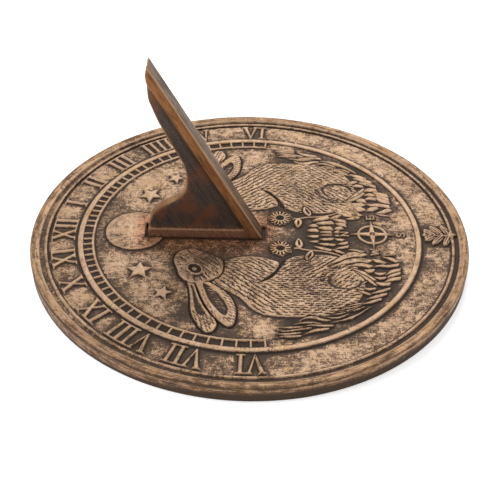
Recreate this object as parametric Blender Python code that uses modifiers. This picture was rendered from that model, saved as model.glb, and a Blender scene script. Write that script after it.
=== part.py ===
"""A round garden sundial: a cast dial plate in low relief and a separate gnomon, screwed on from below.

The origin is the centre of the underside. +Z is up, +Y is north (noon) and +X is east (afternoon hours).
"""
import bmesh
import bpy
from math import atan2, cos, hypot, pi, radians, sin, sqrt
from mathutils import Matrix, Vector

MM = 0.001
GAP = 0.3  # left between pieces that touch; lengths below are in millimetres until they reach a mesh

# Dial plate, from the centre outward and from the underside up
PLATE_RADIUS = 125.0
PLATE_HEIGHT = 10.0
RIM_INNER_RADIUS = 121.0
RIM_ROOT_RADIUS = 119.4
GROOVE_HEIGHT = 8.2
RIDGE_RADII = (115.6, 117.4)
RIDGE_HEIGHT = 8.9
FLOOR_HEIGHT = 7.5
BAND_RADII = (95.2, 98.6)
BAND_HEIGHT = 8.7
RELIEF_HEIGHT = 8.5
PLATE_STEPS = 72

# Underside
FOOT_INNER_RADIUS = 110.0
RECESS_HEIGHT = 3.6
RIB_COUNT = 8
RIB_WIDTH = 4.0
RIB_RADII = (68.0, 111.5)
RIB_BOTTOM = 1.4
BOSS_HALF_WIDTH = 10.0
BOSS_INSET = 3.0
BOSS_BOTTOM = 0.6
ROOT = 1.0  # how far a raised feature starts inside the plate

# Hour ladder: hour lines fan out from a point on each side of the noon gap
LATITUDE = radians(52.5)
NOON_GAP = 7.0
HOUR_ORIGIN_Y = -1.6
LADDER_RADII = (89.2, 95.6)
POCKET_RADII = (90.5, 95.0)
TICK_WIDTH = 1.2
LADDER_HEIGHT = 8.6
LADDER_FLOOR = 7.3
LAST_QUARTER = 25

# Roman numerals
NUMERAL_BASE_RADIUS = 100.0
NUMERAL_HEIGHT = 13.4
NUMERALS = ("XII", "I", "II", "III", "IIII", "V", "VI")
MORNING_NUMERALS = ("XI", "X", "IX", "VIII", "VII", "VI")
NUMERAL_MIDDLE = NUMERAL_BASE_RADIUS + NUMERAL_HEIGHT / 2
NUMERAL_TOP = 8.6
SERIF = 0.9

# Raised pictures
MOON = (0.0, 66.0, 16.8)
STARS = ((-35.4, 60.3, 7.3, 0.3), (-53.4, 46.4, 5.4, 0.55))  # each x, y, radius and turn, with a mirror twin
COMPASS_Y = -70.7
COMPASS_REACH = 12.6
COMPASS_WAIST = 2.4
HARE_BODY = ((-16.4, 33.5), (-18.5, 38.8), (-25.0, 42.1), (-34.0, 39.8), (-41.8, 36.6), (-45.0, 33.8),
             (-57.0, 31.4), (-70.0, 30.0), (-80.0, 25.6), (-84.6, 21.0), (-80.5, 16.6), (-77.6, 14.6),
             (-79.6, 10.9), (-79.0, 8.2), (-70.0, 6.4), (-60.0, 8.2), (-55.5, 6.0), (-64.5, -0.8),
             (-70.6, -10.0), (-71.6, -28.0), (-68.0, -48.0), (-62.0, -56.0), (-54.0, -61.0), (-44.0, -63.5),
             (-34.0, -62.0), (-27.0, -58.0), (-22.0, -52.0), (-19.6, -37.0), (-21.6, -25.0), (-28.5, -17.8),
             (-24.3, -12.0), (-21.8, -1.0), (-24.5, 11.0), (-25.4, 15.4), (-20.6, 23.4))

# Gnomon: its outline in the north-up plane, with heights above the plate's rim
GNOMON_WIDTH = 11.3
FOOT_WIDTH = 11.2
PROUD = 0.2  # the flanges stand this much out of the web's ends
WEB_WIDTH = 7.3
STYLE_FOOT = (-7.1, -2.0)
STYLE_TIP = (54.0, 108.0)
NOSE = (55.2, 101.8)
STYLE_FLANGE = 5.8
FOOT_FLANGE_TOP = 4.0
POCKET_FLOOR = 6.5
POCKET_Y = (-9.6, 60.9)
POCKET_WIDTH = 12.3
FOOT_NORTH_Y = 58.1
BACK_EDGE = ((54.6, 86.3), (50.2, 73.5), (45.9, 64.4), (41.9, 55.8), (38.4, 48.8), (36.3, 43.0),
             (35.5, 37.3), (36.0, 31.5), (37.8, 27.2), (41.2, 23.8), (46.0, 20.6), (50.8, 17.8),
             (54.6, 14.2), (56.8, 10.2), (57.8, 5.6))

# Screws, washers and their holes
SCREW_Y = {"south": 9.0, "north": 45.0}
SHANK_RADIUS = 1.9
SHANK_TOP = 14.0
THREAD_HOLE_TOP = 14.6
HEAD_RADIUS = 3.8
HEAD_HEIGHTS = (0.2, 2.1)
SOCKET_RADIUS = 1.45
SOCKET_DEPTH = 1.1
LOCK_WASHER = (2.2, 3.8, 2.4, 3.2)
FLAT_WASHER = (2.2, 4.5, 3.5, 4.3)
SEAT_HEIGHT = 4.6
SEAT_RADIUS = 5.2


def clear_scene():
    for thing in list(bpy.data.objects):
        bpy.data.objects.remove(thing, do_unlink=True)


def new_collection(name):
    group = bpy.data.collections.new(name)
    bpy.context.scene.collection.children.link(group)
    return group


def metal(name, colour, roughness, metallic=1.0):
    material = bpy.data.materials.new(name)
    material.use_nodes = True
    shader = material.node_tree.nodes["Principled BSDF"]
    shader.inputs["Base Color"].default_value = (*colour, 1.0)
    shader.inputs["Roughness"].default_value = roughness
    shader.inputs["Metallic"].default_value = metallic
    return material


def add_mesh_object(name, mesh, group, material=None):
    thing = bpy.data.objects.new(name, mesh)
    group.objects.link(thing)
    if material:
        mesh.materials.append(material)
    return thing


def smooth(thing, angle=35):
    thing.data.shade_smooth()
    thing.data.set_sharp_from_angle(angle=radians(angle))


def make_cutter(thing):
    thing.hide_render = True
    thing.display_type = "WIRE"
    return thing


def turned(name, profile, steps, group, material=None, closed=False):
    """A turned solid from (radius, height) points that run down the outer side."""
    mesh = bpy.data.meshes.new(name)
    points = [(r * MM, 0.0, z * MM) for r, z in profile]
    edges = [(i, i + 1) for i in range(len(points) - 1)]
    if closed:
        edges.append((len(points) - 1, 0))
    mesh.from_pydata(points, edges, [])
    thing = add_mesh_object(name, mesh, group, material)
    screw = thing.modifiers.new("turn", "SCREW")
    screw.axis = "Z"
    screw.steps = steps
    screw.render_steps = steps
    screw.use_merge_vertices = True
    screw.merge_threshold = 0.00001
    return thing


def applied(thing):
    """Replaces the object's mesh with its evaluated one and drops its modifiers."""
    depsgraph = bpy.context.evaluated_depsgraph_get()
    mesh = bpy.data.meshes.new_from_object(thing.evaluated_get(depsgraph))
    thing.modifiers.clear()
    thing.data = mesh
    return thing


def prism_mesh(outlines, low, high):
    """One mesh of flat outlines in the XY plane, each filled and standing from low to high."""
    curve = bpy.data.curves.new("outline", "CURVE")
    curve.dimensions = "2D"
    curve.fill_mode = "BOTH"
    curve.extrude = (high - low) / 2 * MM
    for outline in outlines:
        spline = curve.splines.new("POLY")
        spline.points.add(len(outline) - 1)
        for point, (x, y) in zip(spline.points, outline):
            point.co = (x * MM, y * MM, 0.0, 1.0)
        spline.use_cyclic_u = True
    holder = bpy.data.objects.new("outline", curve)
    bpy.context.scene.collection.objects.link(holder)
    depsgraph = bpy.context.evaluated_depsgraph_get()
    mesh = bpy.data.meshes.new_from_object(holder.evaluated_get(depsgraph))
    bpy.data.objects.remove(holder, do_unlink=True)
    shape = bmesh.new()
    shape.from_mesh(mesh)
    bmesh.ops.remove_doubles(shape, verts=shape.verts, dist=0.000001)
    bmesh.ops.recalc_face_normals(shape, faces=shape.faces)
    bmesh.ops.translate(shape, verts=shape.verts, vec=(0.0, 0.0, (low + high) / 2 * MM))
    shape.to_mesh(mesh)
    shape.free()
    return mesh


def cylinder_mesh(name, places, radius, low, high, sides=32):
    """Upright cylinders at each (x, y) place, in one mesh."""
    shape = bmesh.new()
    for x, y in places:
        centre = Matrix.Translation((x * MM, y * MM, (low + high) / 2 * MM))
        bmesh.ops.create_cone(shape, cap_ends=True, segments=sides, radius1=radius * MM,
                              radius2=radius * MM, depth=(high - low) * MM, matrix=centre)
    mesh = bpy.data.meshes.new(name)
    shape.to_mesh(mesh)
    shape.free()
    return mesh


def combine(thing, other, operation):
    step = thing.modifiers.new(other.name, "BOOLEAN")
    step.operation = operation
    step.solver = "EXACT"
    step.object = other


def circle(x, y, radius, count):
    turns = [2 * pi * i / count for i in range(count)]
    return [(x + radius * cos(turn), y + radius * sin(turn)) for turn in turns]


def sector(inner, outer, first, last, steps):
    """A ring sector; angles are in radians clockwise from north."""
    angles = [first + (last - first) * i / steps for i in range(steps + 1)]
    outside = [(outer * sin(a), outer * cos(a)) for a in angles]
    inside = [(inner * sin(a), inner * cos(a)) for a in reversed(angles)]
    return outside + inside


def hour_angle(quarter, radius):
    """Where the line of a quarter hour after noon meets a circle, in radians clockwise from north."""
    turn = radians(3.75 * quarter)
    line = atan2(sin(LATITUDE) * sin(turn), cos(turn))
    start = Vector((NOON_GAP / 2, HOUR_ORIGIN_Y))
    along = Vector((sin(line), cos(line)))
    middle = start.dot(along)
    reach = -middle + sqrt(middle * middle - start.length_squared + radius * radius)
    point = start + along * reach
    return atan2(point.x, point.y)


def glyph_i():
    bar, serif, top = 1.0, 2.3, NUMERAL_HEIGHT
    half = [(serif, 0.0), (serif, SERIF), (bar, SERIF + 0.5), (bar, top - SERIF - 0.5),
            (serif, top - SERIF), (serif, top)]
    return half + [(-x, y) for x, y in reversed(half)], 5.0


def glyph_v():
    top = NUMERAL_HEIGHT
    under = top - SERIF
    return [(-5.0, top), (-5.0, under), (-4.2, under), (-0.5, 0.0), (0.5, 0.0), (4.0, under), (4.8, under),
            (4.8, top), (1.8, top), (1.8, under), (2.6, under), (0.2, 3.6), (-2.1, under), (-1.4, under),
            (-1.4, top)], 10.4


def glyph_x():
    top = NUMERAL_HEIGHT
    under = top - SERIF
    middle = top / 2
    upper = [(-5.2, top), (-5.2, under), (-4.5, under), (-1.2, middle)]
    lower = [(-4.2, SERIF), (-5.3, SERIF), (-5.3, 0.0), (-1.9, 0.0), (-1.9, SERIF), (-2.8, SERIF),
             (-0.3, middle - 1.5)]
    right = [(2.2, SERIF), (1.4, SERIF), (1.4, 0.0), (5.6, 0.0), (5.6, SERIF), (4.8, SERIF), (1.2, middle)]
    last = [(4.1, under), (5.1, under), (5.1, top), (2.0, top), (2.0, under), (2.8, under),
            (0.3, middle + 1.5), (-1.9, under), (-1.2, under), (-1.2, top)]
    return upper + lower + right + last, 11.2


GLYPHS = {"I": glyph_i, "V": glyph_v, "X": glyph_x}


def numeral_outlines(text, angle):
    """The numeral's letters, upright on the base circle at an angle clockwise from north."""
    letters = [GLYPHS[letter]() for letter in text]
    total = sum(width for _, width in letters)
    reached = -total / 2
    outlines = []
    for outline, width in letters:
        offset = reached + width / 2
        reached += width
        placed = []
        for x, y in outline:
            radius = NUMERAL_BASE_RADIUS + y
            turn = angle + (x + offset) / NUMERAL_MIDDLE
            placed.append((radius * sin(turn), radius * cos(turn)))
        outlines.append(placed)
    return outlines


def all_numerals():
    outlines = numeral_outlines(NUMERALS[0], 0.0)
    for hour in range(1, 7):
        angle = hour_angle(4 * hour, NUMERAL_MIDDLE)
        outlines += numeral_outlines(NUMERALS[hour], angle)
        outlines += numeral_outlines(MORNING_NUMERALS[hour - 1], -angle)
    return outlines


def ladder_pockets():
    """The sunk squares between the quarter-hour ticks, both sides of the noon gap."""
    middle = sum(POCKET_RADII) / 2
    half_tick = TICK_WIDTH / 2 / middle
    edges = [hour_angle(quarter, middle) for quarter in range(LAST_QUARTER + 1)]
    pockets = [sector(*POCKET_RADII, -edges[0] + half_tick, edges[0] - half_tick, 2)]
    for first, last in zip(edges, edges[1:]):
        pockets.append(sector(*POCKET_RADII, first + half_tick, last - half_tick, 1))
        pockets.append(sector(*POCKET_RADII, -last + half_tick, -first - half_tick, 1))
    return pockets


def star(x, y, radius, turn):
    """A five-pointed star, its first point turned clockwise from north."""
    points = []
    for i in range(10):
        reach = radius if i % 2 == 0 else 0.45 * radius
        angle = turn + i * pi / 5
        points.append((x + reach * sin(angle), y + reach * cos(angle)))
    return points


def mirrored(outline):
    return [(-x, y) for x, y in reversed(outline)]


def relief_outlines():
    """The raised pictures inside the ladder: moon, stars, two hares and the compass rose."""
    outlines = [circle(*MOON, 24)]
    for x, y, radius, turn in STARS:
        outlines.append(star(x, y, radius, turn))
        outlines.append(star(-x, y, radius, -turn))
    outlines.append(list(HARE_BODY))
    outlines.append(mirrored(HARE_BODY))
    return outlines


def compass_outline():
    points = []
    for i in range(8):
        reach = COMPASS_REACH if i % 2 == 0 else COMPASS_WAIST
        points.append((reach * sin(i * pi / 4), COMPASS_Y + reach * cos(i * pi / 4)))
    return points


def rectangle(half_width, south, north):
    return [(-half_width, south), (half_width, south), (half_width, north), (-half_width, north)]


def rib_outlines():
    """Radial ribs under the plate, from near the boss to the foot ring."""
    ribs = []
    for i in range(RIB_COUNT):
        turn = 2 * pi * (i + 0.5) / RIB_COUNT
        corners = rectangle(RIB_WIDTH / 2, *RIB_RADII)
        ribs.append([(x * cos(turn) + y * sin(turn), y * cos(turn) - x * sin(turn)) for x, y in corners])
    return ribs


def make_plate(parts, cutters, bronze):
    profile = [(0.0, FLOOR_HEIGHT), (BAND_RADII[0], FLOOR_HEIGHT), (BAND_RADII[0] + 0.4, BAND_HEIGHT),
               (BAND_RADII[1] - 0.4, BAND_HEIGHT), (BAND_RADII[1], FLOOR_HEIGHT),
               (RIDGE_RADII[0] - 0.4, FLOOR_HEIGHT), (RIDGE_RADII[0], RIDGE_HEIGHT),
               (RIDGE_RADII[1], RIDGE_HEIGHT), (RIDGE_RADII[1] + 0.5, GROOVE_HEIGHT),
               (RIM_ROOT_RADIUS, GROOVE_HEIGHT), (RIM_INNER_RADIUS, PLATE_HEIGHT - 0.2),
               (RIM_INNER_RADIUS + 0.8, PLATE_HEIGHT), (PLATE_RADIUS - 1.0, PLATE_HEIGHT),
               (PLATE_RADIUS - 0.2, PLATE_HEIGHT - 0.5), (PLATE_RADIUS, PLATE_HEIGHT - 1.6),
               (PLATE_RADIUS, 0.7), (PLATE_RADIUS - 0.6, 0.0), (FOOT_INNER_RADIUS, 0.0),
               (FOOT_INNER_RADIUS - 1.5, RECESS_HEIGHT),
               (0.0, RECESS_HEIGHT)]
    plate = turned("dial_plate", profile, PLATE_STEPS, parts, bronze)

    def join(name, outlines, low, high):
        guide = add_mesh_object(name, prism_mesh(outlines, low, high), cutters)
        combine(plate, make_cutter(guide), "UNION")

    def cut(name, mesh):
        combine(plate, make_cutter(add_mesh_object(name, mesh, cutters)), "DIFFERENCE")

    boss = rectangle(BOSS_HALF_WIDTH, POCKET_Y[0] + BOSS_INSET, POCKET_Y[1] - BOSS_INSET)
    join("boss", [boss], BOSS_BOTTOM, RECESS_HEIGHT + ROOT)
    join("ribs", rib_outlines(), RIB_BOTTOM, RECESS_HEIGHT + 0.8 * ROOT)

    last = hour_angle(LAST_QUARTER, sum(POCKET_RADII) / 2) + TICK_WIDTH / 2 / POCKET_RADII[0]
    join("ladder", [sector(*LADDER_RADII, -last, last, 60)], FLOOR_HEIGHT - ROOT, LADDER_HEIGHT)
    cut("ladder_pockets", prism_mesh(ladder_pockets(), LADDER_FLOOR, PLATE_HEIGHT))
    join("numerals", all_numerals(), FLOOR_HEIGHT - ROOT, NUMERAL_TOP)
    join("relief", relief_outlines(), FLOOR_HEIGHT - 0.9 * ROOT, RELIEF_HEIGHT)
    join("compass_star", [compass_outline()], FLOOR_HEIGHT - 0.8 * ROOT, RELIEF_HEIGHT)

    cut("gnomon_pocket", prism_mesh([rectangle(POCKET_WIDTH / 2, *POCKET_Y)], POCKET_FLOOR, PLATE_HEIGHT))
    places = [(0.0, y) for y in SCREW_Y.values()]
    cut("screw_seats", cylinder_mesh("screw_seats", places, SEAT_RADIUS, -1.0, SEAT_HEIGHT))
    hole = SHANK_RADIUS + GAP
    cut("screw_holes", cylinder_mesh("screw_holes", places, hole, 1.0, PLATE_HEIGHT, 24))
    applied(plate)
    smooth(plate)


def upright(outline, width):
    """A solid of the given width, centred on the noon line, from a (north, height above the rim) outline."""
    mesh = prism_mesh([outline], -width / 2, width / 2)
    stand = Matrix(((0, 0, 1, 0), (1, 0, 0, 0), (0, 1, 0, PLATE_HEIGHT * MM), (0, 0, 0, 1)))
    mesh.transform(stand)
    return mesh


def make_gnomon(parts, cutters, bronze):
    """A web with a wide flange along the style and another along the foot."""
    bottom = POCKET_FLOOR + GAP - PLATE_HEIGHT
    run = STYLE_TIP[0] - STYLE_FOOT[0]
    rise = STYLE_TIP[1] - STYLE_FOOT[1]
    slope = run / rise
    flange_depth = STYLE_FLANGE * hypot(run, rise) / rise  # along the noon line
    heel = (STYLE_FOOT[0] + (bottom - STYLE_FOOT[1]) * slope, bottom)
    web = [heel, STYLE_TIP, NOSE, *BACK_EDGE, (FOOT_NORTH_Y, FOOT_FLANGE_TOP - 1.5), (FOOT_NORTH_Y, bottom)]

    flange_start = (heel[0] + flange_depth, bottom)
    back = BACK_EDGE[0][0] + PROUD
    back_meet = (back, bottom + (back - flange_start[0]) / slope)
    flange = [heel, STYLE_TIP, (NOSE[0] + PROUD, NOSE[1]), back_meet, flange_start]
    foot_start = heel[0] + (FOOT_FLANGE_TOP - bottom) * slope + 1.0
    foot_end = FOOT_NORTH_Y + PROUD
    foot = [(foot_start, bottom), (foot_end, bottom), (foot_end, FOOT_FLANGE_TOP - 0.6),
            (foot_end - 0.6, FOOT_FLANGE_TOP), (foot_start, FOOT_FLANGE_TOP)]

    gnomon = add_mesh_object("gnomon", upright(web, WEB_WIDTH), parts, bronze)
    for name, outline, width in (("style_flange", flange, GNOMON_WIDTH), ("foot_flange", foot, FOOT_WIDTH)):
        guide = add_mesh_object(name, upright(outline, width), cutters)
        combine(gnomon, make_cutter(guide), "UNION")
    places = [(0.0, y) for y in SCREW_Y.values()]
    mesh = cylinder_mesh("thread_holes", places, SHANK_RADIUS + GAP, POCKET_FLOOR - 1.0, THREAD_HOLE_TOP, 24)
    combine(gnomon, make_cutter(add_mesh_object("thread_holes", mesh, cutters)), "DIFFERENCE")
    applied(gnomon)
    smooth(gnomon, 25)


def make_screw(side, parts, cutters, steel):
    low, high = HEAD_HEIGHTS
    profile = [(0.0, SHANK_TOP), (SHANK_RADIUS - 0.5, SHANK_TOP), (SHANK_RADIUS, SHANK_TOP - 0.6),
               (SHANK_RADIUS, high), (HEAD_RADIUS, high), (HEAD_RADIUS, high - 0.5),
               (HEAD_RADIUS * 0.86, low + 0.55), (HEAD_RADIUS * 0.6, low + 0.1), (0.0, low)]
    screw = turned(f"gnomon_screw_{side}", profile, 32, parts, steel)
    mesh = cylinder_mesh("hex_socket", [(0.0, 0.0)], SOCKET_RADIUS, low - 1.0, low + SOCKET_DEPTH, 6)
    socket = make_cutter(add_mesh_object(f"hex_socket_{side}", mesh, cutters))
    socket.location.y = SCREW_Y[side] * MM
    screw.location.y = SCREW_Y[side] * MM
    combine(screw, socket, "DIFFERENCE")
    applied(screw)
    smooth(screw)


def make_flat_washer(side, parts, steel):
    inner, outer, low, high = FLAT_WASHER
    profile = [(inner, high), (outer - 0.15, high), (outer, high - 0.15), (outer, low + 0.15),
               (outer - 0.15, low), (inner, low)]
    washer = turned(f"flat_washer_{side}", profile, 32, parts, steel, closed=True)
    washer.location.y = SCREW_Y[side] * MM
    applied(washer)
    smooth(washer)


def make_lock_washer(side, parts, steel):
    """A split ring; the slit is about a millimetre wide and leans like the real one's."""
    inner, outer, low, high = LOCK_WASHER
    slit = radians(9)
    lean = radians(8)
    steps = 30
    inside = [slit + (2 * pi - 2 * slit) * i / steps for i in range(steps + 1)]
    outside = [turn + lean for turn in inside]
    outline = [(outer * cos(a), outer * sin(a)) for a in outside]
    outline += [(inner * cos(a), inner * sin(a)) for a in reversed(inside)]
    mesh = prism_mesh([outline], low, high)
    washer = add_mesh_object(f"lock_washer_{side}", mesh, parts, steel)
    washer.location.y = SCREW_Y[side] * MM
    smooth(washer)


def main():
    clear_scene()
    parts = new_collection("garden_sundial")
    cutters = new_collection("cutters")
    bronze = metal("antiqued_bronze_casting", (0.42, 0.27, 0.16), 0.45)
    gnomon_bronze = metal("dark_bronze_casting", (0.17, 0.09, 0.05), 0.4)
    steel = metal("stainless_steel", (0.6, 0.6, 0.6), 0.3)
    make_plate(parts, cutters, bronze)
    make_gnomon(parts, cutters, gnomon_bronze)
    for side in SCREW_Y:
        make_screw(side, parts, cutters, steel)
        make_flat_washer(side, parts, steel)
        make_lock_washer(side, parts, steel)


main()
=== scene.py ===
"""Looks for the garden sundial: a cast dial plate in low relief and its gnomon, in antiqued bronze.

Lengths in this file are millimetres until a mesh is made; x is east, y is north (noon) and z is up.
The dial's relief is drawn into height maps and then becomes mesh, so every picture on it is geometry.
"""
from math import atan2, cos, hypot, pi, radians, sin, sqrt

import bmesh
import bpy
import numpy as np
from mathutils import Matrix, Vector


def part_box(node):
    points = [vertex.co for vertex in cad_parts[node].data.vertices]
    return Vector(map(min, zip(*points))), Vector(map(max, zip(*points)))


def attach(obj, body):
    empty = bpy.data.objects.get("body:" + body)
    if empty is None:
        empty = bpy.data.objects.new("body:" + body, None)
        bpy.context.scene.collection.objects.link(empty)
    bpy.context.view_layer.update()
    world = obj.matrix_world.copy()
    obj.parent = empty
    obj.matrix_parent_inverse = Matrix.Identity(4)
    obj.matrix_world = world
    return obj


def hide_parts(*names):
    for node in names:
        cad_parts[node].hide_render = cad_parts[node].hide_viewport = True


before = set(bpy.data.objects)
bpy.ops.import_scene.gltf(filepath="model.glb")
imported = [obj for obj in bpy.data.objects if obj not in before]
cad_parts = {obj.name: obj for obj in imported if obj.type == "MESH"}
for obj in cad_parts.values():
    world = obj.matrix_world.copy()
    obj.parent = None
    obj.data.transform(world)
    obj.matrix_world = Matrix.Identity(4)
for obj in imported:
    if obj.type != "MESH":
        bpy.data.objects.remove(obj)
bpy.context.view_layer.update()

MM = 0.001

# ---------------------------------------------------------------- sizes shared with the CAD plate
_, plate_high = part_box("dial_plate")
PLATE_RADIUS = plate_high[0] / MM
PLATE_HEIGHT = plate_high[2] / MM
RIDGE_INNER = 115.3
RIDGE_OUTER = 117
GROOVE_RADII = (117.5, 118.8, 119.4)
RIM_FOOT = 119.9
RIM_FLAT = 122
GROOVE = 8.2
RIDGE = 8.9
FLOOR = 7.5
BAND_RADII = (95.2, 98.6)
BAND_TOP = 8.7
SOLID_BASE = 6  # where the dial's two relief pieces meet the plate's body
POCKET_FLOOR = 6.5
POCKET_Y = (-8.9, 60.1)
POCKET_HALF = 6.15
FOOT_INNER = 110
RECESS = 3.6
SCREW_Y = (9, 45)
HOLE_RADIUS = 2.2
SEAT_RADIUS = 5.2
SEAT_HEIGHT = 4.6

# Hour ladder and numerals
LATITUDE = radians(52.5)
NOON_GAP = 7
HOUR_ORIGIN_Y = -1.6
LADDER_RADII = (89.2, 95.2)
LADDER_LINE = 1.3
TICK_WIDTH = 1.2
LADDER_TOP = 1.05
LAST_QUARTER = 25
NUMERAL_BASE = 100
NUMERAL_HEIGHT = 13.6
NUMERAL_MIDDLE = 107
NUMERAL_TOP = 1.15
AFTERNOON = ("I", "II", "III", "IIII", "V", "VI")
MORNING = ("XI", "X", "IX", "VIII", "VII", "VI")

# Height maps: how far the field's map reaches, how far a half passes the noon line, cell sizes and seeds
FIELD_REACH = 96
FIELD_OVERLAP = 6
FIELD_PITCH = 0.2
RING_PITCH = 0.18
WEST_SEED = 11
EAST_SEED = 29
FIELD_SKIN_SEED = 5
RING_SKIN_SEED = 8
BODY_SKIN_SEED = 3

# ---------------------------------------------------------------- height maps


def smoothstep(low, high, value):
    t = np.clip((value - low) / (high - low), 0, 1)
    return t * t * (3 - 2 * t)


def smooth_loop(points, per=5, closed=True):
    """A Catmull-Rom curve through the points."""
    pts = [Vector(p) for p in points]
    count = len(pts)
    curve = []
    for i in range(count if closed else count - 1):
        if closed:
            a, b, c, d = (pts[(i + k) % count] for k in (-1, 0, 1, 2))
        else:
            a, b, c, d = (pts[min(max(i + k, 0), count - 1)] for k in (-1, 0, 1, 2))
        for step in range(per):
            t = step / per
            curve.append(0.5 * (2 * b + (c - a) * t + (2 * a - 5 * b + 4 * c - d) * t * t
                                + (3 * b - a - 3 * c + d) * t ** 3))
    if not closed:
        curve.append(pts[-1])
    return [(p.x, p.y) for p in curve]


def ellipse(x, y, long, short, turn=0, count=28):
    points = []
    for i in range(count):
        a = 2 * pi * i / count
        u, v = long * cos(a), short * sin(a)
        points.append((x + u * cos(turn) - v * sin(turn), y + u * sin(turn) + v * cos(turn)))
    return points


def blur(values, radius, passes=3):
    """A separable box blur, repeated; radius is in cells."""
    size = max(1, int(round(radius)))
    for _ in range(passes):
        for axis in (0, 1):
            margins = [(size + 1, size) if a == axis else (0, 0) for a in (0, 1)]
            padded = np.pad(values, margins, mode="edge")
            total = np.cumsum(padded, axis=axis, dtype=np.float64)
            ahead = np.take(total, range(2 * size + 1, total.shape[axis]), axis=axis)
            behind = np.take(total, range(0, total.shape[axis] - 2 * size - 1), axis=axis)
            values = ((ahead - behind) / (2 * size + 1)).astype(np.float32)
    return values


def casting_skin(shape, seed, radius, depth):
    """Soft seeded noise like a casting's skin; depth is its standard deviation."""
    noise = blur(np.random.default_rng(seed).normal(0, 1, shape).astype(np.float32), radius, 2)
    return depth * noise / noise.std()


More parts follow.
